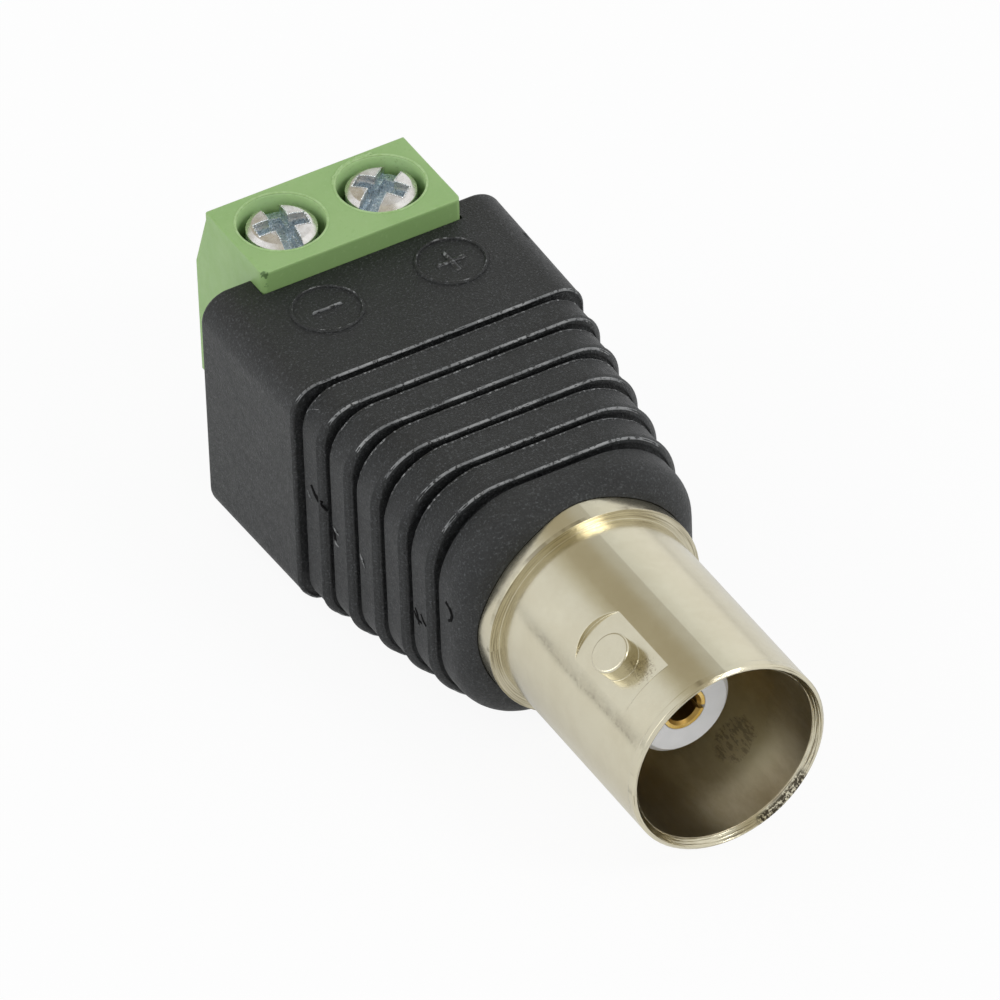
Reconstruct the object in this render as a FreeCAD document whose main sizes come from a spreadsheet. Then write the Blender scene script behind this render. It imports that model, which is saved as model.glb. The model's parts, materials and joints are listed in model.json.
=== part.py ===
import FreeCAD, Part
import math
import os
import Sketcher

os.makedirs("parts", exist_ok=True)
doc = FreeCAD.newDocument("bnc_screw_terminal_adapter")
sheet = doc.addObject("Spreadsheet::Sheet", "sizes")

# Driving sizes in millimetres and degrees. Lengths along the part run back from the mouth of the
# barrel, heights and radii run out from the barrel's axis.
SIZES = [
    ("pole_pitch", 5.08, "between the two terminal screws"),
    ("mould_gap", 0.02, "between a moulded piece and what it grips"),
    # nickel plated shell
    ("barrel_radius", 4.825, "outside of the bayonet barrel"),
    ("rim_round", 0.12, "rounding of the mouth's outer edge"),
    ("rim_bevel", 0.41, "depth of the bevel inside the mouth"),
    ("rim_width", 0.415, "from the barrel's outside in to the inner edge of that bevel"),
    ("barrel_wall", 0.675, "wall of the barrel round the bore"),
    ("bore_start", 7.5, "where the bore's taper ends"),
    ("bore_depth", 8.9, "floor of the space round the insulator"),
    ("collar_front", 11.54, "front of the collar"),
    ("collar_step", 0.505, "collar out from the barrel"),
    ("collar_thickness", 1.46, "collar along the axis"),
    ("spigot_step", 0.425, "stub held in the moulding, in from the barrel's outside"),
    ("spigot_length", 2.6, "stub behind the collar"),
    ("spigot_groove", 0.4, "depth and side walls of the grip groove"),
    ("web_radius", 2.37, "hole that the insulator passes through"),
    ("web_back", 11.5, "seat of the insulator's flange"),
    ("seat_radius", 3.4, "counterbore for the flange and the tag"),
    ("lip_thickness", 0.6, "rolled lip behind the tag"),
    ("lip_radius", 2.95, "opening of the rolled lip"),
    ("lug_angle", 52.5, "turn of the lugs about the barrel"),
    ("lug_station", 4.37, "centre of the lugs behind the mouth"),
    ("lug_radius", 0.95, "radius of a lug"),
    ("lug_span", 11.0, "across the tips of the two lugs"),
    ("lug_edge", 0.1, "rounding of a lug's tip"),
    ("flat_half_width", 1.4, "half width of the flat round a lug"),
    ("flat_front", 2.15, "front end of the flat"),
    ("flat_back", 6.9, "back end of the flat"),
    ("flat_arc_radius", 1.98, "rounding of that back end"),
    ("dent_radius", 0.9, "press mark inside, behind each lug"),
    ("dent_depth", 0.05, "depth of the press mark"),
    # insulator and centre contact
    ("insulator_front", 3.84, "front face of the insulator"),
    ("insulator_radius", 2.35, "nose of the insulator"),
    ("insulator_bevel", 0.24, "bevel of its front edge"),
    ("flange_thickness", 3.0, "rear flange of the insulator"),
    ("contact_radius", 1.04, "outside of the centre contact"),
    ("contact_gap", 0.03, "round the contact in the insulator"),
    ("socket_radius", 0.72, "bore of the centre contact"),
    ("socket_bevel", 0.14, "bevel of that bore"),
    ("socket_depth", 5.0, "depth of that bore"),
    ("slit_width", 0.2, "slit between the spring fingers"),
    ("slit_length", 3.5, "length of the slit"),
    ("slit_angle", 16.0, "turn of the slit about the axis"),
    ("stop_radius", 1.5, "shoulder behind the insulator"),
    ("stop_thickness", 0.6, "thickness of the shoulder"),
    ("tail_radius", 0.6, "solder tail of the centre contact"),
    ("tail_end", 19.5, "end of the solder tail"),
    ("cup_depth", 2.0, "solder cup in the tail"),
    # ground tag
    ("tag_thickness", 0.5, "sheet of the ground tag"),
    ("tag_hole", 2.1, "hole of the ground tag's washer"),
    ("tag_width", 1.6, "width of the bent tail"),
    ("tag_end", 20.5, "end of the bent tail"),
    ("tag_bend", 0.25, "inner radius of the bend"),
    # leads
    ("wire_radius", 0.32, "tinned copper lead"),
    ("wire_gap", 0.02, "between the lead and what it lies in or on"),
    ("sleeve_radius", 0.7, "outside of the lead's insulation"),
    ("lead_bend", 1.6, "bend radius of the leads"),
    ("lead_run", 1.0, "straight lead before and after its two bends"),
    ("strip_length", 0.4, "bare lead between a joint and its sleeve"),
    ("solder_radius", 0.68, "largest radius of a solder joint"),
    ("solder_length", 2.0, "length of a solder joint"),
    ("solder_fillet", 0.3, "solder at the mouth of the cup"),
    # black moulding
    ("collar_show", 0.8, "collar's front ahead of the nose"),
    ("nose_length", 2.21, "rounded nose"),
    ("nose_round", 1.5, "rounding of the nose"),
    ("rib_count", 5, "ribs between the nose and the block"),
    ("rib_pitch", 2.0, "from one rib to the next"),
    ("groove_width", 0.45, "flat floor of a groove"),
    ("groove_depth", 0.42, "depth of a groove"),
    ("rib_round", 0.32, "rounding of the front edge of each rib"),
    ("first_rib_step", 0.27, "from the block's side in to the first rib"),
    ("rib_step", 0.22, "from one rib's side in to the next"),
    ("first_rib_drop", 0.03, "from the block's top down to the first rib"),
    ("rib_drop", 0.04, "from one rib's top down to the next"),
    ("first_rib_corner", 1.9, "corner radius of the first rib"),
    ("rib_corner_step", 0.45, "growth of the corner radius from rib to rib"),
    ("block_length", 8.0, "plain block at the back"),
    ("body_width", 15.3, "width of the block at its back"),
    ("block_draft", 0.2, "narrowing of the block on each side, from its back to its front"),
    ("block_round", 0.16, "rounding of the block's front edge"),
    ("body_height", 12.2, "height of the block"),
    ("body_corner", 1.4, "corner radius of the block"),
    ("body_edge", 0.25, "rounding of the block's back edge"),
    # green terminal housing
    ("terminal_inset", 1.3, "how far the housing's face lies inside the block"),
    ("terminal_rise", 1.14, "housing above the block's top"),
    ("terminal_depth", 5.17, "top of the housing, front to back"),
    ("terminal_height", 10.0, "height of the housing"),
    ("terminal_side", 2.54, "from a screw's centre to the housing's side"),
    ("terminal_corner", 0.3, "rounding of its front corners"),
    ("moulded_edge", 0.08, "softening of its top edges and of the wells' rims"),
    ("foot_reach", 1.1, "foot of the housing inside the moulding"),
    ("foot_height", 6.0, "height of that foot"),
    ("bezel_reach", 1.4, "wire side bezel behind the back face"),
    ("bezel_drop", 3.75, "slope from the top edge to the bezel's face"),
    ("bezel_inset", 0.12, "bezel in from each side"),
    ("screw_station", 2.8, "screw centres behind the housing's front"),
    ("well_radius", 2.02, "screw well"),
    ("well_depth", 1.5, "thickness of the housing's top"),
    ("cage_gap", 0.15, "play of the cage in its chamber"),
    ("entry_width", 2.9, "wire entry"),
    ("entry_height", 3.0, "wire entry"),
    ("entry_drop", 0.3, "entry's sill below the open cage's floor"),
    # screws, cages and contact bars
    ("head_radius", 1.62, "screw head"),
    ("head_height", 1.3, "screw head with its dome"),
    ("dome_height", 0.23, "dome of the head"),
    ("screw_sink", 0.02, "dome below the housing's top"),
    ("thread_radius", 1.25, "screw thread"),
    ("thread_length", 3.2, "screw below its head"),
    ("thread_gap", 0.06, "play of the thread in the cage"),
    ("tip_gap", 0.05, "tip of the open screw above the tongue"),
    ("slot_width", 0.92, "slot across the whole head"),
    ("cross_width", 0.9, "arms of the cross recess"),
    ("slot_depth", 0.7, "depth of the slot below the dome"),
    ("cross_span", 2.5, "length of the cross recess"),
    ("cross_depth", 1.0, "depth of the cross below the dome"),
    ("cross_taper", 9.0, "slope of the cross's walls"),
    ("minus_slot_turn", -8.0, "rest position of the minus screw's slot"),
    ("plus_slot_turn", -51.0, "rest position of the plus screw's slot"),
    ("cage_width", 3.7, "cage across the part"),
    ("cage_depth", 4.0, "cage along the part"),
    ("cage_corner", 0.5, "folded corners of the cage"),
    ("cage_top", 1.1, "threaded top wall of the cage"),
    ("cage_floor", 0.6, "floor of the cage"),
    ("cage_play", 0.1, "cage above the tongue when it is open"),
    ("cage_base_gap", 0.15, "open cage above the chamber's floor"),
    ("window_width", 2.9, "window of the cage"),
    ("wire_space", 2.2, "room for the wire when the cage is open"),
    ("tongue_width", 2.6, "fixed tongue"),
    ("tongue_thickness", 0.8, "fixed tongue"),
    ("tongue_end_gap", 0.45, "tongue's end short of the chamber's back"),
    ("bar_tail_width", 1.4, "solder tail of a contact bar"),
    ("bar_tail_length", 3.0, "solder tail ahead of the housing"),
]

for row, (name, value, note) in enumerate(SIZES, start=1):
    sheet.set(f"A{row}", name)
    sheet.set(f"B{row}", str(value))
    sheet.set(f"C{row}", note)
    sheet.setAlias(f"B{row}", name)
doc.recompute()

# Places worked out from the driving sizes.
BORE_RADIUS = "(sizes.barrel_radius - sizes.barrel_wall)"
COLLAR_RADIUS = "(sizes.barrel_radius + sizes.collar_step)"
SPIGOT_RADIUS = "(sizes.barrel_radius - sizes.spigot_step)"
COLLAR_BACK = "(sizes.collar_front + sizes.collar_thickness)"
SHELL_BACK = f"({COLLAR_BACK} + sizes.spigot_length)"
LIP_FRONT = f"({SHELL_BACK} - sizes.lip_thickness)"
FLANGE_BACK = "(sizes.web_back + sizes.flange_thickness)"
TAG_BACK = f"({FLANGE_BACK} + sizes.tag_thickness)"
NOSE_FRONT = "(sizes.collar_front + sizes.collar_show)"
NOSE_BACK = f"({NOSE_FRONT} + sizes.nose_length)"
BLOCK_FRONT = f"({NOSE_BACK} + sizes.groove_width + sizes.rib_count * sizes.rib_pitch)"
BODY_BACK = f"({BLOCK_FRONT} + sizes.block_length)"
BODY_TOP = "(sizes.body_height / 2)"
BLOCK_HALF_FRONT = "(sizes.body_width / 2 - sizes.block_draft)"
HOUSING_FRONT = f"({BODY_BACK} - sizes.terminal_inset)"
HOUSING_BACK = f"({HOUSING_FRONT} + sizes.terminal_depth)"
FOOT_FRONT = f"({HOUSING_FRONT} - sizes.foot_reach)"
PART_BACK = f"({HOUSING_BACK} + sizes.bezel_reach)"
HOUSING_TOP = f"({BODY_TOP} + sizes.terminal_rise)"
HOUSING_BASE = f"({HOUSING_TOP} - sizes.terminal_height)"
HOUSING_SIDE = "(sizes.pole_pitch / 2 + sizes.terminal_side)"
SCREW_Y = f"({HOUSING_FRONT} + sizes.screw_station)"
SCREW_TOP = f"({HOUSING_TOP} - sizes.screw_sink)"
TONGUE_TOP = f"({SCREW_TOP} - sizes.head_height - sizes.thread_length - sizes.tip_gap)"
TONGUE_BASE = f"({TONGUE_TOP} - sizes.tongue_thickness)"
CAGE_FLOOR_TOP = f"({TONGUE_BASE} - sizes.wire_space)"
CAGE_BASE = f"({CAGE_FLOOR_TOP} - sizes.cage_floor)"
CHAMBER_BASE = f"({CAGE_BASE} - sizes.cage_base_gap)"
CHAMBER_TOP = f"({HOUSING_TOP} - sizes.well_depth)"
CHAMBER_FRONT = f"({SCREW_Y} - sizes.cage_depth / 2 - sizes.cage_gap)"
CHAMBER_BACK = f"({SCREW_Y} + sizes.cage_depth / 2 + sizes.cage_gap)"
LEAD_Z = f"({TONGUE_TOP} + sizes.wire_radius + sizes.wire_gap)"
BAR_TAIL_FRONT = f"({FOOT_FRONT} - sizes.bar_tail_length)"
TAG_OUTER_X = "(-sizes.tag_hole - sizes.tag_thickness)"
LEAD_END = f"({FOOT_FRONT} - sizes.strip_length)"
SLEEVE_END = f"({BAR_TAIL_FRONT} - sizes.strip_length / 2)"
CUP_START = "(sizes.tail_end - sizes.cup_depth)"
TAG_LEAD_X = f"({TAG_OUTER_X} - sizes.wire_radius - sizes.wire_gap)"
TAG_LEAD_START = f"(sizes.tag_end - sizes.solder_length - sizes.strip_length)"
FIRST_BEND = "(sizes.tag_end + sizes.strip_length + sizes.lead_run)"
SECOND_BEND = f"({SLEEVE_END} - sizes.lead_run)"
MOUTH_Y = f"(-{PART_BACK} / 2)"
AXIS_Z = BODY_TOP
POLES = {"minus": "(-sizes.pole_pitch / 2)", "plus": "(sizes.pole_pitch / 2)"}
NORMAL = FreeCAD.Vector(0, 0, 1)


def number(expression):
    """Value of an expression of the sheet now, for the first drawing of a sketch."""
    value = sheet.evalExpression(expression)
    return float(value.Value) if hasattr(value, "Value") else float(value)


def new_body(name, x="0", y="0", z="0"):
    """A body whose own origin lies at x, y, z from the mouth's centre on the barrel's axis."""
    body = doc.addObject("PartDesign::Body", name)
    body.Label = name
    body.setExpression("Placement.Base.x", x)
    body.setExpression("Placement.Base.y", f"{MOUTH_Y} + {y}")
    body.setExpression("Placement.Base.z", f"{AXIS_Z} + {z}")
    return body


def origin_feature(body, role):
    for item in body.Origin.OriginFeatures:
        if item.Role == role:
            return item
    raise ValueError(role)


def new_sketch(body, name, plane, lift=None, turn=None, about=None, base=None):
    """A sketch on one of the body's own planes: lifted along its normal, turned about one of its
    own axes, or started at another point of the plane's frame."""
    sketch = body.newObject("Sketcher::SketchObject", name)
    sketch.AttachmentSupport = (origin_feature(body, plane), [""])
    sketch.MapMode = "FlatFace"
    if turn is not None:
        rotation = FreeCAD.Rotation(about, number(turn))
        sketch.AttachmentOffset = FreeCAD.Placement(FreeCAD.Vector(0, 0, 0), rotation)
        sketch.setExpression("AttachmentOffset.Rotation.Angle", turn)
    if lift is not None:
        sketch.setExpression("AttachmentOffset.Base.z", lift)
    if base is not None:
        for axis, expression in zip("xyz", base):
            sketch.setExpression(f"AttachmentOffset.Base.{axis}", expression)
    return sketch


def bind(sketch, constraint, expression):
    index = sketch.addConstraint(constraint)
    sketch.setExpression(f"Constraints[{index}]", expression)


def place_point(sketch, geometry, position, x, y):
    """Fixes one point of a sketch at x, y. A plain 0 ties it to the sketch's own axis."""
    for expression, kind, axis in ((x, "DistanceX", -2), (y, "DistanceY", -1)):
        if expression == "0":
            sketch.addConstraint(Sketcher.Constraint("PointOnObject", geometry, position, axis))
        else:
            distance = Sketcher.Constraint(kind, -1, 1, geometry, position, number(expression))
            bind(sketch, distance, expression)


def outline(sketch, points):
    """A closed outline of straight lines through points, each a pair of expressions."""
    places = [FreeCAD.Vector(number(x), number(y), 0) for x, y in points]
    first = sketch.GeometryCount
    for index, place in enumerate(places):
        after = places[(index + 1) % len(places)]
        sketch.addGeometry(Part.LineSegment(place, after), False)
    for index in range(len(points)):
        after = (index + 1) % len(points)
        sketch.addConstraint(Sketcher.Constraint("Coincident", first + index, 2, first + after, 1))
    for index, (x, y) in enumerate(points):
        place_point(sketch, first + index, 1, x, y)


def rectangle(sketch, left, right, low, high):
    outline(sketch, [(left, low), (right, low), (right, high), (left, high)])


def circle(sketch, x, y, radius):
    centre = FreeCAD.Vector(number(x), number(y), 0)
    index = sketch.addGeometry(Part.Circle(centre, NORMAL, number(radius)), False)
    place_point(sketch, index, 3, x, y)
    bind(sketch, Sketcher.Constraint("Radius", index, number(radius)), radius)


def rounded_rectangle(sketch, half_width, low, high, corner):
    """A rectangle about the vertical axis, from low to high, with four corner arcs."""
    wide, base, top, radius = (number(value) for value in (half_width, low, high, corner))
    quarter = math.pi / 2
    centres = [(wide - radius, top - radius), (radius - wide, top - radius),
               (radius - wide, base + radius), (wide - radius, base + radius)]
    for index, (x, y) in enumerate(centres):
        ring = Part.Circle(FreeCAD.Vector(x, y, 0), NORMAL, radius)
        sketch.addGeometry(Part.ArcOfCircle(ring, quarter * index, quarter * (index + 1)), False)
    for index in range(4):
        start = sketch.getPoint(index, 2)
        sketch.addGeometry(Part.LineSegment(start, sketch.getPoint((index + 1) % 4, 1)), False)
    for index in range(4):
        line, after = 4 + index, (index + 1) % 4
        sketch.addConstraint(Sketcher.Constraint("Tangent", index, 2, line, 1))
        sketch.addConstraint(Sketcher.Constraint("Tangent", line, 2, after, 1))
        if index:
            sketch.addConstraint(Sketcher.Constraint("Equal", 0, index))
    sketch.addConstraint(Sketcher.Constraint("Horizontal", 4))
    sketch.addConstraint(Sketcher.Constraint("Vertical", 5))
    bind(sketch, Sketcher.Constraint("Radius", 0, radius), corner)
    bind(sketch, Sketcher.Constraint("DistanceX", 5, 1, -1, 1, wide), half_width)
    bind(sketch, Sketcher.Constraint("DistanceX", -1, 1, 7, 1, wide), half_width)
    bind(sketch, Sketcher.Constraint("DistanceY", -1, 1, 4, 1, top), high)
    bind(sketch, Sketcher.Constraint("DistanceY", -1, 1, 6, 1, base), low)


def extrude(body, kind, name, sketch, length, reverse=False, middle=False):
    """A Pad or a Pocket of a sketch. A pad follows the sketch's normal and a pocket goes against it."""
    made = body.newObject(f"PartDesign::{kind}", name)
    made.Profile = sketch
    made.setExpression("Length", length)
    made.Reversed = reverse
    made.Midplane = middle
    return made


def spin(body, kind, name, points, at=("0", "0")):
    """A Revolution or a Groove of a half section: lengths along the axis, radii up."""
    sketch = new_sketch(body, f"{name}_section", "YZ_Plane", base=("0", at[1], at[0]))
    outline(sketch, points)
    made = body.newObject(f"PartDesign::{kind}", name)
    made.Profile = sketch
    made.ReferenceAxis = (sketch, ["H_Axis"])
    made.Angle = 360
    return made


def soften(body, kind, name, base, edges, size):
    """A Fillet or a Chamfer on edges of the body's last feature."""
    made = body.newObject(f"PartDesign::{kind}", name)
    made.Base = (base, edges)
    made.setExpression("Radius" if kind == "Fillet" else "Size", size)
    return made


def edges_where(shape, wanted):
    return [f"Edge{index}" for index, edge in enumerate(shape.Edges, start=1) if wanted(edge)]


def lies_at(edge, axis, place):
    """Whether a whole edge lies in the plane across one axis at one place."""
    box = edge.BoundBox
    low, high = {"x": (box.XMin, box.XMax), "y": (box.YMin, box.YMax), "z": (box.ZMin, box.ZMax)}[axis]
    return abs(low - place) < 1e-3 and abs(high - place) < 1e-3


def shell_outside():
    """Half section of the shell's outside, with its inside still full."""
    groove_front = f"{COLLAR_BACK} + sizes.spigot_groove"
    groove_back = f"{SHELL_BACK} - 2 * sizes.spigot_groove"
    groove_floor = f"{SPIGOT_RADIUS} - sizes.spigot_groove"
    return [
        ("0", "0"),
        ("0", "sizes.barrel_radius - sizes.rim_round"),
        ("sizes.rim_round", "sizes.barrel_radius"),
        ("sizes.collar_front", "sizes.barrel_radius"),
        ("sizes.collar_front", COLLAR_RADIUS),
        (COLLAR_BACK, COLLAR_RADIUS),
        (COLLAR_BACK, SPIGOT_RADIUS),
        (groove_front, SPIGOT_RADIUS),
        (groove_front, groove_floor),
        (groove_back, groove_floor),
        (groove_back, SPIGOT_RADIUS),
        (SHELL_BACK, SPIGOT_RADIUS),
        (SHELL_BACK, "0"),
    ]


def flat_outline(sketch):
    """The flat round a lug: straight in front and at the sides, and an arc behind."""
    half, front = number("sizes.flat_half_width"), number("sizes.flat_front")
    radius, back = number("sizes.flat_arc_radius"), number("sizes.flat_back")
    opening = math.asin(half / radius)
    ring = Part.Circle(FreeCAD.Vector(back - radius, 0, 0), NORMAL, radius)
    sketch.addGeometry(Part.ArcOfCircle(ring, -opening, opening), False)
    corners = [sketch.getPoint(0, 2), FreeCAD.Vector(front, half, 0)]
    corners += [FreeCAD.Vector(front, -half, 0), sketch.getPoint(0, 1)]
    for start, end in zip(corners, corners[1:]):
        sketch.addGeometry(Part.LineSegment(start, end), False)
    for constraint in (("Coincident", 0, 2, 1, 1), ("Coincident", 1, 2, 2, 1), ("Coincident", 2, 2, 3, 1),
                       ("Coincident", 3, 2, 0, 1), ("Horizontal", 1), ("Vertical", 2), ("Horizontal", 3),
                       ("PointOnObject", 0, 3, -1)):
        sketch.addConstraint(Sketcher.Constraint(*constraint))
    bind(sketch, Sketcher.Constraint("Radius", 0, radius), "sizes.flat_arc_radius")
    bind(sketch, Sketcher.Constraint("DistanceX", -1, 1, 0, 3, back - radius),
         "sizes.flat_back - sizes.flat_arc_radius")
    bind(sketch, Sketcher.Constraint("DistanceX", -1, 1, 1, 2, front), "sizes.flat_front")
    bind(sketch, Sketcher.Constraint("DistanceY", -1, 1, 1, 2, half), "sizes.flat_half_width")
    bind(sketch, Sketcher.Constraint("DistanceY", 2, 2, -1, 1, half), "sizes.flat_half_width")


def lug_sketch(body, name, lift="0"):
    """A sketch square to the lugs: its X runs back from the mouth, its normal out through a lug."""
    base = ("0", f"-({lift}) * sin(sizes.lug_angle)", f"({lift}) * cos(sizes.lug_angle)")
    return new_sketch(body, name, "YZ_Plane", None, "sizes.lug_angle", FreeCAD.Vector(1, 0, 0), base)


def build_shell():
    """The barrel, collar and spigot turned in one piece, with the two lugs pressed out of its wall."""
    body = new_body("bnc_shell")
    spin(body, "Revolution", "bar", shell_outside())

    floor = "sqrt(sizes.barrel_radius ^ 2 - sizes.flat_half_width ^ 2)"
    flat = lug_sketch(body, "flat_outline", floor)
    flat_outline(flat)
    first = extrude(body, "Pocket", "flat", flat, "sizes.lug_span", reverse=True)
    doc.recompute()
    both = body.newObject("PartDesign::PolarPattern", "flats")
    both.Originals = [first]
    both.Axis = (origin_feature(body, "Y_Axis"), [""])
    both.Angle = 360
    both.Occurrences = 2
    body.Tip = both

    lug = lug_sketch(body, "lug_outline")
    circle(lug, "sizes.lug_station", "0", "sizes.lug_radius")
    lugs = extrude(body, "Pad", "lugs", lug, "sizes.lug_span", middle=True)
    doc.recompute()
    outward = FreeCAD.Rotation(FreeCAD.Vector(0, 1, 0), number("sizes.lug_angle")).multVec(
        FreeCAD.Vector(1, 0, 0))
    tip = number("sizes.lug_span") / 2

    def on_tip(edge):
        return all(abs(abs(point.dot(outward)) - tip) < 1e-3
                   for point in [vertex.Point for vertex in edge.Vertexes] + [edge.CenterOfMass])

    soften(body, "Fillet", "lug_tips", lugs, edges_where(lugs.Shape, on_tip), "sizes.lug_edge")

    spin(body, "Groove", "bore", [
        ("0", "0"),
        ("0", "sizes.barrel_radius - 1.5 * sizes.rim_round"),
        ("sizes.rim_bevel", "sizes.barrel_radius - sizes.rim_width"),
        ("sizes.bore_start", BORE_RADIUS),
        ("sizes.bore_depth", BORE_RADIUS),
        ("sizes.bore_depth", "sizes.web_radius"),
        ("sizes.web_back", "sizes.web_radius"),
        ("sizes.web_back", "sizes.seat_radius"),
        (LIP_FRONT, "sizes.seat_radius"),
        (LIP_FRONT, "sizes.lip_radius"),
        (SHELL_BACK, "sizes.lip_radius"),
        (SHELL_BACK, "0"),
    ])
    mark = lug_sketch(body, "press_mark_outline")
    circle(mark, "sizes.lug_station", "0", "sizes.dent_radius")
    deep = f"2 * ({BORE_RADIUS} + sizes.dent_depth)"
    extrude(body, "Pocket", "press_marks", mark, deep, middle=True)


def build_insulator():
    """The white insulator: a bevelled nose in the mouth and a flange seated behind the web."""
    body = new_body("contact_insulator")
    hole = "sizes.contact_radius + sizes.contact_gap"
    flange = "sizes.seat_radius - sizes.mould_gap"
    spin(body, "Revolution", "insulator", [
        ("sizes.insulator_front", hole),
        ("sizes.insulator_front", "sizes.insulator_radius - sizes.insulator_bevel"),
        ("sizes.insulator_front + sizes.insulator_bevel", "sizes.insulator_radius"),
        ("sizes.web_back", "sizes.insulator_radius"),
        ("sizes.web_back", flange),
        (FLANGE_BACK, flange),
        (FLANGE_BACK, hole),
    ])


def build_contact():
    """The gilded socket contact, with two spring fingers in front and a solder cup behind."""
    body = new_body("centre_contact")
    front = "sizes.insulator_front"
    spin(body, "Revolution", "contact", [
        (front, "sizes.socket_radius + sizes.socket_bevel"),
        (front, "sizes.contact_radius"),
        (FLANGE_BACK, "sizes.contact_radius"),
        (FLANGE_BACK, "sizes.stop_radius"),
        (f"{FLANGE_BACK} + sizes.stop_thickness", "sizes.stop_radius"),
        (f"{FLANGE_BACK} + sizes.stop_thickness", "sizes.tail_radius"),
        ("sizes.tail_end", "sizes.tail_radius"),
        ("sizes.tail_end", "sizes.wire_radius + sizes.wire_gap"),
        (CUP_START, "sizes.wire_radius + sizes.wire_gap"),
        (CUP_START, "0"),
        (f"{front} + sizes.socket_depth", "0"),
        (f"{front} + sizes.socket_depth", "sizes.socket_radius"),
        (f"{front} + sizes.socket_bevel", "sizes.socket_radius"),
    ])
    slit = new_sketch(body, "slit_outline", "XY_Plane", None, "sizes.slit_angle", FreeCAD.Vector(0, 1, 0))
    wide = "2 * sizes.contact_radius"
    rectangle(slit, f"-{wide}", wide, f"{front} - sizes.slit_width", f"{front} + sizes.slit_length")
    extrude(body, "Pocket", "slit", slit, "sizes.slit_width", middle=True)


def build_tag():
    """The ground tag: a washer behind the insulator, with a tail bent back from its hole."""
    body = new_body("ground_tag")
    washer = new_sketch(body, "washer_outline", "XZ_Plane", f"-{TAG_BACK}")
    circle(washer, "0", "0", "sizes.seat_radius - sizes.mould_gap")
    circle(washer, "0", "0", "sizes.tag_hole")
    extrude(body, "Pad", "washer", washer, "sizes.tag_thickness")
    tail = new_sketch(body, "tail_outline", "XZ_Plane", f"-{FLANGE_BACK}")
    rectangle(tail, TAG_OUTER_X, "-sizes.tag_hole", "-sizes.tag_width / 2", "sizes.tag_width / 2")
    bent = extrude(body, "Pad", "tail", tail, f"sizes.tag_end - {FLANGE_BACK}", reverse=True)
    doc.recompute()
    outer, back = number(TAG_OUTER_X), number(TAG_BACK)
    inside = edges_where(bent.Shape, lambda edge: lies_at(edge, "x", outer) and lies_at(edge, "y", back))
    soften(body, "Fillet", "bend", bent, inside, "sizes.tag_bend")


def lead_route(start_x, start_z, end_x):
    """Expressions of a lead's sideways run and the tilt of the plane it lies in."""
    across = f"({end_x} - {start_x})"
    up = f"({LEAD_Z} - {start_z})"
    return {
        "x": start_x,
        "z": start_z,
        "offset": f"sqrt({across} ^ 2 + {up} ^ 2)",
        "tilt": f"-atan2({up}; {across})",
        "corner": f"(sizes.lead_bend * tan(atan2(sqrt({across} ^ 2 + {up} ^ 2); "
                  f"{SECOND_BEND} - {FIRST_BEND}) / 2))",
    }


def lead_path(body, name, route, start, end):
    """The lead's centre line, in the tilted plane that holds both of its straight ends: straight
    back, two equal bends and straight on."""
    about = FreeCAD.Vector(0, 1, 0)
    base = (route["x"], "0", route["z"])
    sketch = new_sketch(body, name, "XY_Plane", None, route["tilt"], about, base)
    offset, corner = number(route["offset"]), number(route["corner"])
    first, second = number(FIRST_BEND), number(SECOND_BEND)
    radius = number("sizes.lead_bend")
    lean = math.atan2(offset, second - first)
    step = FreeCAD.Vector(corner * math.sin(lean), corner * math.cos(lean), 0)
    bend_in = FreeCAD.Vector(0, first - corner, 0)
    bend_out = FreeCAD.Vector(0, first, 0) + step
    turn_in = FreeCAD.Vector(offset, second, 0) - step
    turn_out = FreeCAD.Vector(offset, second + corner, 0)
    ring_in = Part.Circle(FreeCAD.Vector(radius, first - corner, 0), NORMAL, radius)
    ring_out = Part.Circle(FreeCAD.Vector(offset - radius, second + corner, 0), NORMAL, radius)
    sketch.addGeometry(Part.LineSegment(FreeCAD.Vector(0, number(start), 0), bend_in), False)
    sketch.addGeometry(Part.ArcOfCircle(ring_in, math.pi - lean, math.pi), False)
    sketch.addGeometry(Part.LineSegment(bend_out, turn_in), False)
    sketch.addGeometry(Part.ArcOfCircle(ring_out, -lean, 0), False)
    sketch.addGeometry(Part.LineSegment(turn_out, FreeCAD.Vector(offset, number(end), 0)), False)
    for constraint in (("Tangent", 0, 2, 1, 2), ("Tangent", 1, 1, 2, 1), ("Tangent", 2, 2, 3, 1),
                       ("Tangent", 3, 2, 4, 1), ("Equal", 1, 3), ("Vertical", 0), ("Vertical", 4)):
        sketch.addConstraint(Sketcher.Constraint(*constraint))
    place_point(sketch, 0, 1, "0", start)
    place_point(sketch, 4, 2, route["offset"], end)
    bind(sketch, Sketcher.Constraint("Radius", 1, radius), "sizes.lead_bend")
    turn_in_y = f"{FIRST_BEND} - {route['corner']}"
    bind(sketch, Sketcher.Constraint("DistanceY", -1, 1, 0, 2, first - corner), turn_in_y)
    turn_out_y = f"{SECOND_BEND} + {route['corner']}"
    bind(sketch, Sketcher.Constraint("DistanceY", -1, 1, 4, 1, second + corner), turn_out_y)
    return sketch


def lead_pipe(body, kind, name, route, start, end, radii):
    """A round pipe along a lead's centre line. A second radius leaves it hollow."""
    path = lead_path(body, f"{name}_path", route, start, end)
    ring = new_sketch(body, f"{name}_ring", "XZ_Plane", f"-{start}")
    for radius in radii:
        circle(ring, route["x"], route["z"], radius)
    pipe = body.newObject(f"PartDesign::{kind}", name)
    pipe.Profile = ring
    pipe.Spine = path
    return pipe


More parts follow.
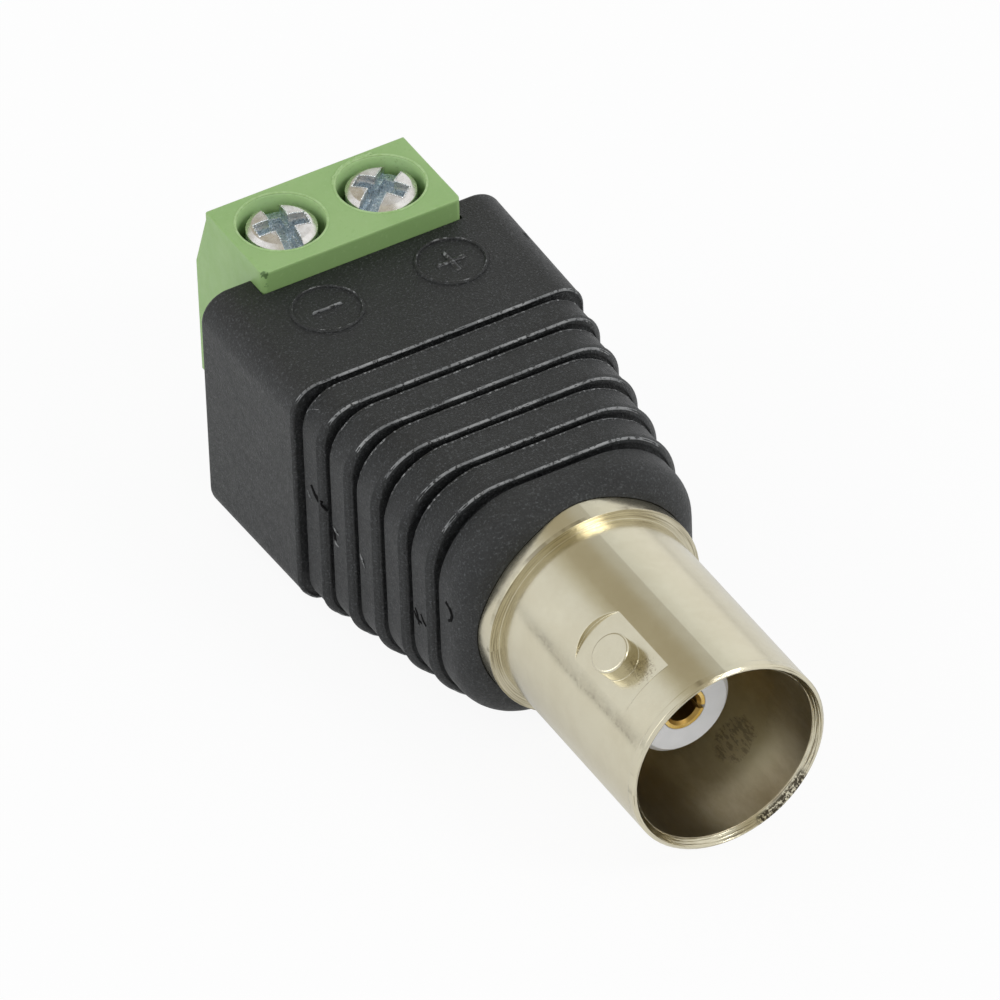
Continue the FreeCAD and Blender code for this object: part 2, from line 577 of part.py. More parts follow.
def build_lead(name, route, start, sleeve_start):
    wire = new_body(f"{name}_conductor")
    lead_pipe(wire, "AdditivePipe", f"{name}_wire", route, start, LEAD_END, ["sizes.wire_radius"])
    sleeve = new_body(f"{name}_insulation")
    radii = ["sizes.sleeve_radius", "sizes.wire_radius + sizes.wire_gap"]
    lead_pipe(sleeve, "AdditivePipe", f"{name}_sleeve", route, sleeve_start, SLEEVE_END, radii)


def build_solder_bead(name, x, z, middle):
    """A bead of solder round a lead where it lies on a tail: a barrel shape, cut by both."""
    body = new_body(name)
    half = "sizes.solder_length / 2"
    hole = "sizes.wire_radius + sizes.wire_gap / 2"
    edge = "sizes.wire_radius + 4 * sizes.wire_gap"
    spin(body, "Revolution", "bead", [
        (f"{middle} - {half}", hole),
        (f"{middle} - {half}", edge),
        (f"{middle} - {half} / 2", "sizes.solder_radius"),
        (f"{middle} + {half} / 2", "sizes.solder_radius"),
        (f"{middle} + {half}", edge),
        (f"{middle} + {half}", hole),
    ], at=(x, z))
    return body


def element(index):
    """Half width, half height and corner radius of one rib, counted forward from the block. The
    nose is the one after the last rib."""
    steps = index - 1
    half_width = f"({BLOCK_HALF_FRONT} - sizes.first_rib_step - {steps} * sizes.rib_step)"
    half_height = f"({BODY_TOP} - sizes.first_rib_drop - {steps} * sizes.rib_drop)"
    corner = f"(sizes.first_rib_corner + {steps} * sizes.rib_corner_step)"
    return half_width, half_height, corner


def body_section(body, name, place, half_width, half_height, corner, length):
    sketch = new_sketch(body, f"{name}_outline", "XZ_Plane", f"-({place})")
    rounded_rectangle(sketch, half_width, f"-{half_height}", half_height, corner)
    return extrude(body, "Pad", name, sketch, length)


def build_overmould():
    """The black body: block, ribs and nose stacked forward, softened, then cut by what it grips."""
    body = new_body("body_overmould")
    plan = new_sketch(body, "block_outline", "XY_Plane")
    outline(plan, [
        ("-sizes.body_width / 2", BODY_BACK),
        ("sizes.body_width / 2", BODY_BACK),
        (BLOCK_HALF_FRONT, BLOCK_FRONT),
        (f"-{BLOCK_HALF_FRONT}", BLOCK_FRONT),
    ])
    block = extrude(body, "Pad", "block", plan, "sizes.body_height", middle=True)
    doc.recompute()
    long_edges = edges_where(block.Shape, lambda edge: edge.BoundBox.YLength > number("sizes.body_corner"))
    soften(body, "Fillet", "block_corners", block, long_edges, "sizes.body_corner")
    rib_count = round(number("sizes.rib_count"))
    fronts = [number(BLOCK_FRONT)]
    for index in range(1, rib_count + 2):
        half_width, half_height, corner = element(index)
        behind = f"{BLOCK_FRONT} - {index - 1} * sizes.rib_pitch"
        start = f"{behind} - sizes.groove_width"
        body_section(body, f"groove_{index}", behind, f"({half_width} - sizes.groove_depth)",
                     f"({half_height} - sizes.groove_depth)", f"({corner} - sizes.groove_depth)",
                     "sizes.groove_width")
        last = index > rib_count
        length = "sizes.nose_length" if last else "(sizes.rib_pitch - sizes.groove_width)"
        name = "nose" if last else f"rib_{index}"
        tip = body_section(body, name, start, half_width, half_height, corner, length)
        if not last:
            fronts.append(number(f"{start} - {length}"))
    doc.recompute()

    nose_front = number(NOSE_FRONT)
    nose = edges_where(tip.Shape, lambda edge: lies_at(edge, "y", nose_front))
    rounded = soften(body, "Fillet", "nose_round", tip, nose, "sizes.nose_round")
    doc.recompute()

    def front_edges(shape, index):
        """Outer edges of the front face at that step, and not the foot of the groove ahead of it."""
        half_width, half_height, corner = (number(value) for value in element(index + 1))
        depth = number("sizes.groove_depth") - 1e-3

        def wanted(edge):
            point = edge.valueAt(edge.FirstParameter)
            outside = abs(point.x) > half_width - depth or abs(point.z) > half_height - depth
            return lies_at(edge, "y", fronts[index]) and outside

        return edges_where(shape, wanted)

    ribs = [edge for index in range(1, rib_count + 1) for edge in front_edges(rounded.Shape, index)]
    softened = soften(body, "Fillet", "rib_rounds", rounded, ribs, "sizes.rib_round")
    doc.recompute()
    softened = soften(body, "Fillet", "block_front_round", softened,
                      front_edges(softened.Shape, 0), "sizes.block_round")
    doc.recompute()
    back = number(BODY_BACK)
    rear = edges_where(softened.Shape, lambda edge: lies_at(edge, "y", back))
    soften(body, "Fillet", "back_round", softened, rear, "sizes.body_edge")
    cut_overmould(body)


def cut_overmould(body):
    """The hollows of the moulding, each the shape of the piece that it was moulded round."""
    gap = "sizes.mould_gap"
    side = f"({HOUSING_SIDE} + {gap})"
    seat = new_sketch(body, "housing_seat_outline", "YZ_Plane")
    outline(seat, [
        (f"{HOUSING_FRONT} - {gap}", f"2 * {HOUSING_TOP}"),
        (f"{HOUSING_FRONT} - {gap}", f"{HOUSING_BASE} + sizes.foot_height + {gap}"),
        (f"{FOOT_FRONT} - {gap}", f"{HOUSING_BASE} + sizes.foot_height + {gap}"),
        (f"{FOOT_FRONT} - {gap}", f"{HOUSING_BASE} - {gap}"),
        (f"2 * {BODY_BACK}", f"{HOUSING_BASE} - {gap}"),
        (f"2 * {BODY_BACK}", f"2 * {HOUSING_TOP}"),
    ])
    extrude(body, "Pocket", "housing_seat", seat, f"2 * {side}", middle=True)

    points = shell_outside()
    points[1:4] = [("0", COLLAR_RADIUS)]
    spin(body, "Groove", "shell_seat", [(x, y if y == "0" else f"{y} + {gap}") for x, y in points])

    tail = "sizes.tail_radius"
    spin(body, "Groove", "tail_seat", [
        (SHELL_BACK, "0"), (SHELL_BACK, f"{tail} + {gap}"),
        (f"sizes.tail_end + sizes.strip_length", f"{tail} + {gap}"),
        (f"sizes.tail_end + sizes.strip_length", "0"),
    ])
    tag = new_sketch(body, "tag_seat_outline", "XZ_Plane", f"-{SHELL_BACK}")
    rectangle(tag, f"{TAG_OUTER_X} - {gap}", f"{gap} - sizes.tag_hole",
              f"-sizes.tag_width / 2 - {gap}", f"sizes.tag_width / 2 + {gap}")
    extrude(body, "Pocket", "tag_seat", tag, f"sizes.tag_end + {gap} - {SHELL_BACK}")

    for name, (route, start, sleeve_start) in leads().items():
        radius = [f"sizes.sleeve_radius + {gap}"]
        channel_start = TAG_LEAD_START if name == "ground" else "sizes.tail_end"
        lead_pipe(body, "SubtractivePipe", f"{name}_channel", route, channel_start, FOOT_FRONT, radius)
    for name, x in POLES.items():
        bar = new_sketch(body, f"bar_seat_{name}_outline", "XZ_Plane", f"-({BAR_TAIL_FRONT} - {gap})")
        half = f"sizes.bar_tail_width / 2 + {gap}"
        rectangle(bar, f"{x} - ({half})", f"{x} + {half}", f"{TONGUE_BASE} - {gap}", f"{TONGUE_TOP} + {gap}")
        extrude(body, "Pocket", f"bar_seat_{name}", bar, f"sizes.bar_tail_length + {gap}")


def build_housing():
    """The green block: a stepped section, a sloped bezel on the wire side, wells and chambers."""
    body = new_body("terminal_housing")
    section = new_sketch(body, "block_outline", "YZ_Plane")
    foot_top = f"{HOUSING_BASE} + sizes.foot_height"
    outline(section, [
        (HOUSING_FRONT, HOUSING_TOP), (HOUSING_BACK, HOUSING_TOP), (HOUSING_BACK, HOUSING_BASE),
        (FOOT_FRONT, HOUSING_BASE), (FOOT_FRONT, foot_top), (HOUSING_FRONT, foot_top),
    ])
    block = extrude(body, "Pad", "block", section, f"2 * {HOUSING_SIDE}", middle=True)
    doc.recompute()
    front, top = number(HOUSING_FRONT), number(HOUSING_TOP)
    posts = edges_where(block.Shape, lambda edge: lies_at(edge, "y", front)
                        and edge.BoundBox.ZLength > 1 and abs(edge.BoundBox.ZMax - top) < 1e-3)
    rounded = soften(body, "Fillet", "front_corners", block, posts, "sizes.terminal_corner")
    doc.recompute()
    back = number(HOUSING_BACK)
    rim = edges_where(rounded.Shape, lambda edge: lies_at(edge, "z", top) and not lies_at(edge, "y", back))
    soften(body, "Fillet", "top_edges", rounded, rim, "sizes.moulded_edge")
    slope = new_sketch(body, "bezel_outline", "YZ_Plane")
    outline(slope, [
        (HOUSING_BACK, HOUSING_TOP), (PART_BACK, f"{HOUSING_TOP} - sizes.bezel_drop"),
        (PART_BACK, HOUSING_BASE), (HOUSING_BACK, HOUSING_BASE),
    ])
    wide = f"2 * ({HOUSING_SIDE} - sizes.bezel_inset)"
    extrude(body, "Pad", "bezel", slope, wide, middle=True)

    wells = new_sketch(body, "well_outline", "XY_Plane", HOUSING_TOP)
    chambers = new_sketch(body, "chamber_outline", "XY_Plane", CHAMBER_TOP)
    entries = new_sketch(body, "entry_outline", "XZ_Plane", f"-({CHAMBER_BACK} - sizes.cage_gap)")
    slots = new_sketch(body, "bar_slot_outline", "XZ_Plane", f"-({FOOT_FRONT} - sizes.mould_gap)")
    for x in POLES.values():
        circle(wells, x, SCREW_Y, "sizes.well_radius")
        half = "(sizes.cage_width / 2 + sizes.cage_gap)"
        rectangle(chambers, f"{x} - {half}", f"{x} + {half}", CHAMBER_FRONT, CHAMBER_BACK)
        sill = f"({CAGE_FLOOR_TOP} - sizes.entry_drop)"
        half = "sizes.entry_width / 2"
        rectangle(entries, f"{x} - {half}", f"{x} + {half}", sill, f"{sill} + sizes.entry_height")
        half = "(sizes.tongue_width / 2 + sizes.mould_gap)"
        rectangle(slots, f"{x} - {half}", f"{x} + {half}", f"{TONGUE_BASE} - sizes.mould_gap",
                  f"{TONGUE_TOP} + sizes.mould_gap")
    cut = extrude(body, "Pocket", "wells", wells, "sizes.well_depth")
    doc.recompute()
    rims = edges_where(cut.Shape, lambda edge: lies_at(edge, "z", top) and len(edge.Vertexes) == 1)
    soften(body, "Fillet", "well_rims", cut, rims, "sizes.moulded_edge")
    extrude(body, "Pocket", "chambers", chambers, f"{CHAMBER_TOP} - {CHAMBER_BASE}")
    extrude(body, "Pocket", "wire_entries", entries, f"{PART_BACK} - {CHAMBER_BACK} + 2 * sizes.cage_gap")
    extrude(body, "Pocket", "bar_slots", slots, f"{CHAMBER_FRONT} - {FOOT_FRONT} + 2 * sizes.mould_gap")


def build_pole(name, x):
    """What one pole holds: its screw, the cage that rises on it and the fixed contact bar."""
    screw = new_body(f"terminal_screw_{name}", x, SCREW_Y, SCREW_TOP)
    screw.Placement = FreeCAD.Placement(
        screw.Placement.Base, FreeCAD.Rotation(FreeCAD.Vector(0, 0, 1), number(f"sizes.{name}_slot_turn")))
    screw.setExpression("Placement.Rotation.Angle", f"sizes.{name}_slot_turn")
    half = new_sketch(screw, "screw_section", "XZ_Plane")
    outline(half, [
        ("0", "0"), ("sizes.head_radius * 0.55", "-sizes.dome_height * 0.22"),
        ("sizes.head_radius * 0.85", "-sizes.dome_height * 0.62"),
        ("sizes.head_radius", "-sizes.dome_height * 1.35"), ("sizes.head_radius", "-sizes.head_height"),
        ("sizes.thread_radius", "-sizes.head_height"),
        ("sizes.thread_radius", "-(sizes.head_height + sizes.thread_length)"),
        ("0", "-(sizes.head_height + sizes.thread_length)"),
    ])
    made = screw.newObject("PartDesign::Revolution", "screw")
    made.Profile = half
    made.ReferenceAxis = (half, ["V_Axis"])
    made.Angle = 360
    slot = new_sketch(screw, "slot_outline", "XY_Plane")
    rectangle(slot, "-sizes.slot_width / 2", "sizes.slot_width / 2", "-2 * sizes.head_radius",
              "2 * sizes.head_radius")
    extrude(screw, "Pocket", "slot", slot, "sizes.slot_depth")
    cross = new_sketch(screw, "cross_outline", "XY_Plane")
    span, wide = "sizes.cross_span / 2", "sizes.cross_width / 2"
    outline(cross, [
        (f"-{wide}", f"-{span}"), (wide, f"-{span}"), (wide, f"-{wide}"), (span, f"-{wide}"), (span, wide),
        (wide, wide), (wide, span), (f"-{wide}", span), (f"-{wide}", wide), (f"-{span}", wide),
        (f"-{span}", f"-{wide}"), (f"-{wide}", f"-{wide}"),
    ])
    recess = extrude(screw, "Pocket", "cross", cross, "sizes.cross_depth")
    recess.setExpression("TaperAngle", "-sizes.cross_taper")

    cage = new_body(f"wire_clamp_{name}", x, SCREW_Y, TONGUE_TOP)
    window_top = "sizes.cage_play"
    window_base = "(-sizes.tongue_thickness - sizes.wire_space)"
    wall = new_sketch(cage, "cage_outline", "XZ_Plane")
    rounded_rectangle(wall, "sizes.cage_width / 2", f"{window_base} - sizes.cage_floor",
                      f"{window_top} + sizes.cage_top", "sizes.cage_corner")
    extrude(cage, "Pad", "cage", wall, "sizes.cage_depth", middle=True)
    window = new_sketch(cage, "window_outline", "XZ_Plane")
    rectangle(window, "-sizes.window_width / 2", "sizes.window_width / 2", window_base, window_top)
    extrude(cage, "Pocket", "window", window, "2 * sizes.cage_depth", middle=True)
    bore = new_sketch(cage, "thread_outline", "XY_Plane", f"{window_top} + sizes.cage_top")
    circle(bore, "0", "0", "sizes.thread_radius + sizes.thread_gap")
    extrude(cage, "Pocket", "thread_hole", bore, "sizes.cage_top + sizes.cage_play")

    bar = new_body(f"contact_bar_{name}", x, "0", TONGUE_TOP)
    plan = new_sketch(bar, "bar_outline", "XY_Plane")
    wide, narrow = "sizes.tongue_width / 2", "sizes.bar_tail_width / 2"
    tongue_end = f"({CHAMBER_BACK} - sizes.tongue_end_gap)"
    outline(plan, [
        (f"-{wide}", FOOT_FRONT), (f"-{narrow}", FOOT_FRONT), (f"-{narrow}", BAR_TAIL_FRONT),
        (narrow, BAR_TAIL_FRONT), (narrow, FOOT_FRONT), (wide, FOOT_FRONT), (wide, tongue_end),
        (f"-{wide}", tongue_end),
    ])
    extrude(bar, "Pad", "bar", plan, "sizes.tongue_thickness", reverse=True)


def leads():
    """Route, start of the bare wire and start of the sleeve of each lead."""
    signal = lead_route("0", "0", POLES["plus"])
    ground = lead_route(TAG_LEAD_X, "0", POLES["minus"])
    return {
        "signal": (signal, CUP_START, "(sizes.tail_end + sizes.strip_length)"),
        "ground": (ground, TAG_LEAD_START, "(sizes.tag_end + sizes.strip_length / 2)"),
    }


def build_joints():
    """The four solder joints."""
    cup = new_body("solder_signal")
    hole = "sizes.wire_radius + sizes.wire_gap / 2"
    spin(cup, "Revolution", "cup_fillet", [
        ("sizes.tail_end", hole), ("sizes.tail_end", "sizes.tail_radius"),
        ("sizes.tail_end + sizes.solder_fillet", "sizes.wire_radius + 4 * sizes.wire_gap"),
        ("sizes.tail_end + sizes.solder_fillet", hole),
    ])
    middle = f"(sizes.tag_end - sizes.solder_length / 2 - sizes.wire_gap)"
    bead = build_solder_bead("solder_ground", TAG_LEAD_X, "0", middle)
    trim = new_sketch(bead, "tag_side", "XZ_Plane", "0")
    rectangle(trim, f"{TAG_OUTER_X}", "0.0001", "-sizes.tag_width", "sizes.tag_width")
    extrude(bead, "Pocket", "tag_trim", trim, "2 * sizes.tag_end")
    for name, x in POLES.items():
        middle = f"({BAR_TAIL_FRONT} + sizes.bar_tail_length / 2)"
        bead = build_solder_bead(f"solder_{name}", x, LEAD_Z, middle)
        trim = new_sketch(bead, "bar_side", "XY_Plane", f"{TONGUE_TOP}")
        wide = "sizes.tongue_width"
        rectangle(trim, f"{x} - {wide}", f"{x} + {wide}", BAR_TAIL_FRONT, f"{FOOT_FRONT} + {wide}")
        extrude(bead, "Pocket", "bar_trim", trim, wide)


build_overmould()
build_housing()
for pole, place in POLES.items():
    build_pole(pole, place)
build_shell()
build_insulator()
build_contact()
build_tag()
for lead, (route, start, sleeve_start) in leads().items():
    build_lead(lead, route, start, sleeve_start)
build_joints()
doc.recompute()

for item in doc.Objects:
    if "Invalid" in item.State or "Error" in item.State:
        raise RuntimeError(f"{item.Label}: {item.State}")
for item in doc.Objects:
    if item.TypeId == "PartDesign::Body":
        if item.Shape.isNull() or not item.Shape.isValid():
            raise RuntimeError(f"{item.Label} has no sound shape")
        item.Shape.exportStep(f"parts/{item.Label}.step")
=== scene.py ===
import json
import math

import bmesh
import bpy
from mathutils import Matrix, Vector, noise


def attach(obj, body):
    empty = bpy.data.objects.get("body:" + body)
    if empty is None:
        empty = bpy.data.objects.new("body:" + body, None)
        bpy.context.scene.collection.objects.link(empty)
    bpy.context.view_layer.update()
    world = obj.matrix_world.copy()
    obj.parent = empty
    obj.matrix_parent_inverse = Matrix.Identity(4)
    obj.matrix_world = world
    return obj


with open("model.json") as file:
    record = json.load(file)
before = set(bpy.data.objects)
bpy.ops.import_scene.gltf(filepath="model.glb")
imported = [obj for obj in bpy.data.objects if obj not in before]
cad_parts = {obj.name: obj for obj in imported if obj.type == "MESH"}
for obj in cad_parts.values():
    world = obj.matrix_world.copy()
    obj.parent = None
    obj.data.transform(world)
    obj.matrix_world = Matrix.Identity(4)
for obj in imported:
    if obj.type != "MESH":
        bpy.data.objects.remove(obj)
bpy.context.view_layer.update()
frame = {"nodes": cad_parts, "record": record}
nodes = frame["nodes"]

MM = 0.001

# Places and sizes of the solids in millimetres, as the part's source gives them
MOUTH_Y = -19.135
AXIS_Z = 6.1
BLOCK_TOP = 12.2
BLOCK_FRONT = 5.865
BLOCK_HALF_WIDTH = 7.45
BLOCK_CORNER = 1.4
RIB_PITCH = 2.0
RIB_COUNT = 5
GROOVE_WIDTH = 0.45
FIRST_RIB = (7.18, 6.07, 1.9)
RIB_STEP = (-0.22, -0.04, 0.45)
BLOCK_ROUND = 0.16
RIB_ROUND = 0.32
HOUSING_TOP = 13.34
WELL_RADIUS = 2.02
HOUSING_FRONT = 12.565
SCREW_Y = 15.365
SCREW_TOP = 13.32
SHANK_RADIUS = 1.25
SHANK_TOP = 12.02
SHANK_BASE = 8.82
BARREL_RADIUS = 4.825
BORE_EDGE = 4.41
BORE_EDGE_DEPTH = 0.41
BORE_DEPTH = 8.9
COLLAR_FRONT = 11.54
SOCKET_EDGE = 0.86

# X of each terminal's screw
SCREWS = {"minus": -2.54, "plus": 2.54}

# Sizes of the raised marks and of the threads, which are in this script alone
MARK_X = 3.16
MARK_Y = 10.195
MARK_RADIUS = 1.6
THREAD_PITCH = 0.45
THREAD_STEPS = 20

# Distance between the points of an outline
SPACING = 0.2


# Camera

def make_camera():
    """The photograph's camera, as fitted to it."""
    data = bpy.data.cameras.new("camera")
    data.sensor_width = 36.0
    data.lens = 492.0
    data.clip_start = 0.05
    data.clip_end = 20.0
    camera = bpy.data.objects.new("camera", data)
    right = Vector((0.86614, -0.49900, -0.02845))
    up = Vector((0.33993, 0.54640, 0.76544))
    back = Vector((-0.36641, -0.67265, 0.64288))
    turn = Matrix((right, up, back)).transposed().to_4x4()
    place = Vector((-0.2209, -0.404835, 0.3941))
    camera.matrix_world = Matrix.Translation(place) @ turn
    bpy.context.scene.collection.objects.link(camera)
    bpy.context.scene.camera = camera


# Shader helpers

class Shader:
    """A material with its nodes, and short ways to add noise, masks and bumps, in millimetres."""

    def __init__(self, name, color, roughness, metallic=0.0, specular=0.5):
        self.material = bpy.data.materials.new(name)
        self.material.use_nodes = True
        self.tree = self.material.node_tree
        self.body = self.tree.nodes["Principled BSDF"]
        self.body.inputs["Base Color"].default_value = (*color, 1.0)
        self.body.inputs["Roughness"].default_value = roughness
        self.body.inputs["Metallic"].default_value = metallic
        self.body.inputs["Specular IOR Level"].default_value = specular
        scaled = self.add("ShaderNodeVectorMath", operation="SCALE")
        scaled.inputs["Scale"].default_value = 1.0 / MM
        self.link(self.add("ShaderNodeTexCoord").outputs["Object"], scaled.inputs[0])
        self.place = scaled.outputs[0]
        split = self.add("ShaderNodeSeparateXYZ")
        self.link(self.place, split.inputs[0])
        self.x, self.y, self.z = (split.outputs[axis] for axis in "XYZ")
        self.normal = None

    def add(self, kind, **settings):
        node = self.tree.nodes.new(kind)
        for key, value in settings.items():
            setattr(node, key, value)
        return node

    def link(self, start, end):
        self.tree.links.new(start, end)

    def fill(self, socket, value):
        if isinstance(value, tuple):
            socket.default_value = (*value, 1.0)
        elif isinstance(value, (int, float)):
            socket.default_value = value
        else:
            self.link(value, socket)

    def noise(self, size, detail=3.0, rough=0.5, scale=None, where=None):
        """Noise whose features are about that many millimetres across, stretched where scale says."""
        node = self.add("ShaderNodeTexNoise")
        node.inputs["Scale"].default_value = 1.0 / size
        node.inputs["Detail"].default_value = detail
        node.inputs["Roughness"].default_value = rough
        where = where or self.place
        if scale:
            mapping = self.add("ShaderNodeMapping")
            mapping.inputs["Scale"].default_value = scale
            self.link(where, mapping.inputs["Vector"])
            where = mapping.outputs["Vector"]
        self.link(where, node.inputs["Vector"])
        return node.outputs["Fac"]

    def math(self, operation, a, b=0.0):
        node = self.add("ShaderNodeMath", operation=operation)
        self.fill(node.inputs[0], a)
        self.fill(node.inputs[1], b)
        return node.outputs["Value"]

    def times(self, first, *others):
        for other in others:
            first = self.math("MULTIPLY", first, other)
        return first

    def length(self, a, b):
        """The length of a vector with those two legs."""
        return self.math("SQRT", self.math("ADD", self.times(a, a), self.times(b, b)))

    def step(self, value, low, high):
        """0 at low, 1 at high and smooth between them, whichever is the greater."""
        node = self.add("ShaderNodeMapRange", interpolation_type="SMOOTHSTEP", clamp=True)
        self.fill(node.inputs["Value"], value)
        node.inputs["From Min"].default_value = low
        node.inputs["From Max"].default_value = high
        return node.outputs["Result"]

    def between(self, value, low, high, soft):
        """1 from low to high, with soft edges."""
        rise = self.step(value, low - soft, low + soft)
        return self.times(rise, self.step(value, high + soft, high - soft))

    def shade(self, value, low, high):
        """A number that runs from low to high over the middle of a noise's range."""
        node = self.add("ShaderNodeMapRange", clamp=True)
        self.fill(node.inputs["Value"], value)
        for name, number in (("From Min", 0.3), ("From Max", 0.7), ("To Min", low), ("To Max", high)):
            node.inputs[name].default_value = number
        return node.outputs["Result"]

    def mix(self, factor, a, b):
        node = self.add("ShaderNodeMix", data_type="RGBA")
        self.fill(node.inputs[0], factor)
        self.fill(node.inputs[6], a)
        self.fill(node.inputs[7], b)
        return node.outputs[2]

    def tone(self, value, dark, light):
        return self.mix(self.step(value, 0.3, 0.7), dark, light)

    def near(self, point, radius, ragged, grain):
        """1 inside a ball round a point, with an edge that noise makes ragged."""
        node = self.add("ShaderNodeVectorMath", operation="DISTANCE")
        self.link(self.place, node.inputs[0])
        node.inputs[1].default_value = point
        shift = self.shade(self.noise(grain, 4.0, 0.7), -ragged, ragged)
        away = self.math("ADD", node.outputs["Value"], shift)
        return self.step(away, radius * 1.15, radius * 0.85)

    def bump(self, height, depth):
        """Adds a height map, whose full range stands depth millimetres tall."""
        node = self.add("ShaderNodeBump")
        node.inputs["Distance"].default_value = depth * MM
        node.inputs["Strength"].default_value = 1.0
        self.link(height, node.inputs["Height"])
        if self.normal:
            self.link(self.normal, node.inputs["Normal"])
        self.normal = node.outputs["Normal"]
        self.link(self.normal, self.body.inputs["Normal"])

    def rounded(self, radius):
        """Shades sharp edges as if they were rounded off by that many millimetres."""
        node = self.add("ShaderNodeBevel")
        node.samples = 6
        node.inputs["Radius"].default_value = radius * MM
        self.normal = node.outputs["Normal"]
        self.link(self.normal, self.body.inputs["Normal"])

    def subsurface(self, weight, radius):
        """Lets that share of the light in, to that many metres for red, green and blue."""
        self.body.inputs["Subsurface Weight"].default_value = weight
        self.body.inputs["Subsurface Radius"].default_value = radius
        self.body.inputs["Subsurface Scale"].default_value = 1.0

    def color(self, output):
        self.link(output, self.body.inputs["Base Color"])

    def roughness(self, output):
        self.link(output, self.body.inputs["Roughness"])


# Materials

def rib_edge_wear_and_sheen(s):
    """1 on the rounded front edges of the block and of the ribs, which handling has worn and where paler
    flecks also paint a sheen.
    """
    last_front = BLOCK_FRONT - RIB_COUNT * RIB_PITCH
    behind = s.math("WRAP", s.math("SUBTRACT", s.y, BLOCK_FRONT), RIB_PITCH)
    first = s.step(s.y, BLOCK_FRONT + 0.35, BLOCK_FRONT + 0.30)
    last = s.step(s.y, last_front - 0.10, last_front)
    return s.times(s.step(behind, 0.34, 0.20), first, last)


def black_plastic():
    """Matte black moulding, grained and flecked, streaked round the ribs and nose, with worn edges that
    carry more pale flecks, partly wear and partly a painted sheen.
    """
    s = Shader("black_plastic", (0.0080, 0.0092, 0.0096), 0.46)
    s.rounded(0.05)
    edges = rib_edge_wear_and_sheen(s)
    grain = s.noise(0.11, 3.0, 0.8)
    streaks = s.noise(0.10, 2.0, 0.5, scale=(0.10, 1.0, 0.10))
    streaks = s.times(s.step(streaks, 0.52, 0.72), s.step(s.y, BLOCK_FRONT, BLOCK_FRONT - 0.4))
    cloud = s.noise(2.4, 4.0, 0.6)
    tone = s.tone(cloud, (0.0066, 0.0076, 0.0080), (0.0102, 0.0114, 0.0118))
    tone = s.mix(s.times(streaks, 0.5), tone, (0.020, 0.023, 0.024))
    # Painted sheen and wear: more pale flecks on the rounded front edges.
    fleck = s.step(s.math("ADD", grain, s.times(edges, 0.05)), 0.52, 0.72)
    tone = s.mix(fleck, tone, (0.085, 0.090, 0.094))
    s.color(s.mix(s.step(grain, 0.44, 0.30), tone, (0.0015, 0.0016, 0.0018)))
    rough = s.shade(s.noise(0.35, 4.0, 0.6), 0.40, 0.54)
    s.roughness(s.math("SUBTRACT", rough, s.times(edges, 0.08)))
    s.bump(grain, 0.065)
    s.bump(s.noise(0.9, 2.0, 0.5), 0.008)
    return s.material


def worn_black_and_highlight(name, share):
    """The same plastic at a thin edge, coloured pale grey over about that share of its length, partly wear
    and partly a painted highlight.
    """
    s = Shader(name, (0.05, 0.052, 0.053), 0.34)
    scuff_and_highlight = s.noise(0.20, 4.0, 0.7)
    middle = 0.62 - 0.24 * share
    pale = s.tone(s.noise(1.3, 3.0, 0.6), (0.12, 0.125, 0.128), (0.32, 0.325, 0.325))
    # Painted highlight and wear: the pale grey over part of the edge.
    s.color(s.mix(s.step(scuff_and_highlight, middle - 0.05, middle + 0.05), (0.012, 0.013, 0.0135), pale))
    s.roughness(s.shade(s.noise(0.2, 3.0), 0.28, 0.44))
    s.bump(scuff_and_highlight, 0.02)
    return s.material


def painted_gash_shade_and_scuff():
    """Painted shade for the dark inside of a tear and of a pit, laid on the surface as a strip, and the
    dark colour of the scuffs.
    """
    # Painted shade: near black, for the shadow in tears and pits.
    s = Shader("painted_gash_shade_and_scuff", (0.0015, 0.0016, 0.0018), 0.85, specular=0.1)
    s.color(s.tone(s.noise(0.15), (0.0010, 0.0010, 0.0012), (0.0030, 0.0030, 0.0032)))
    return s.material


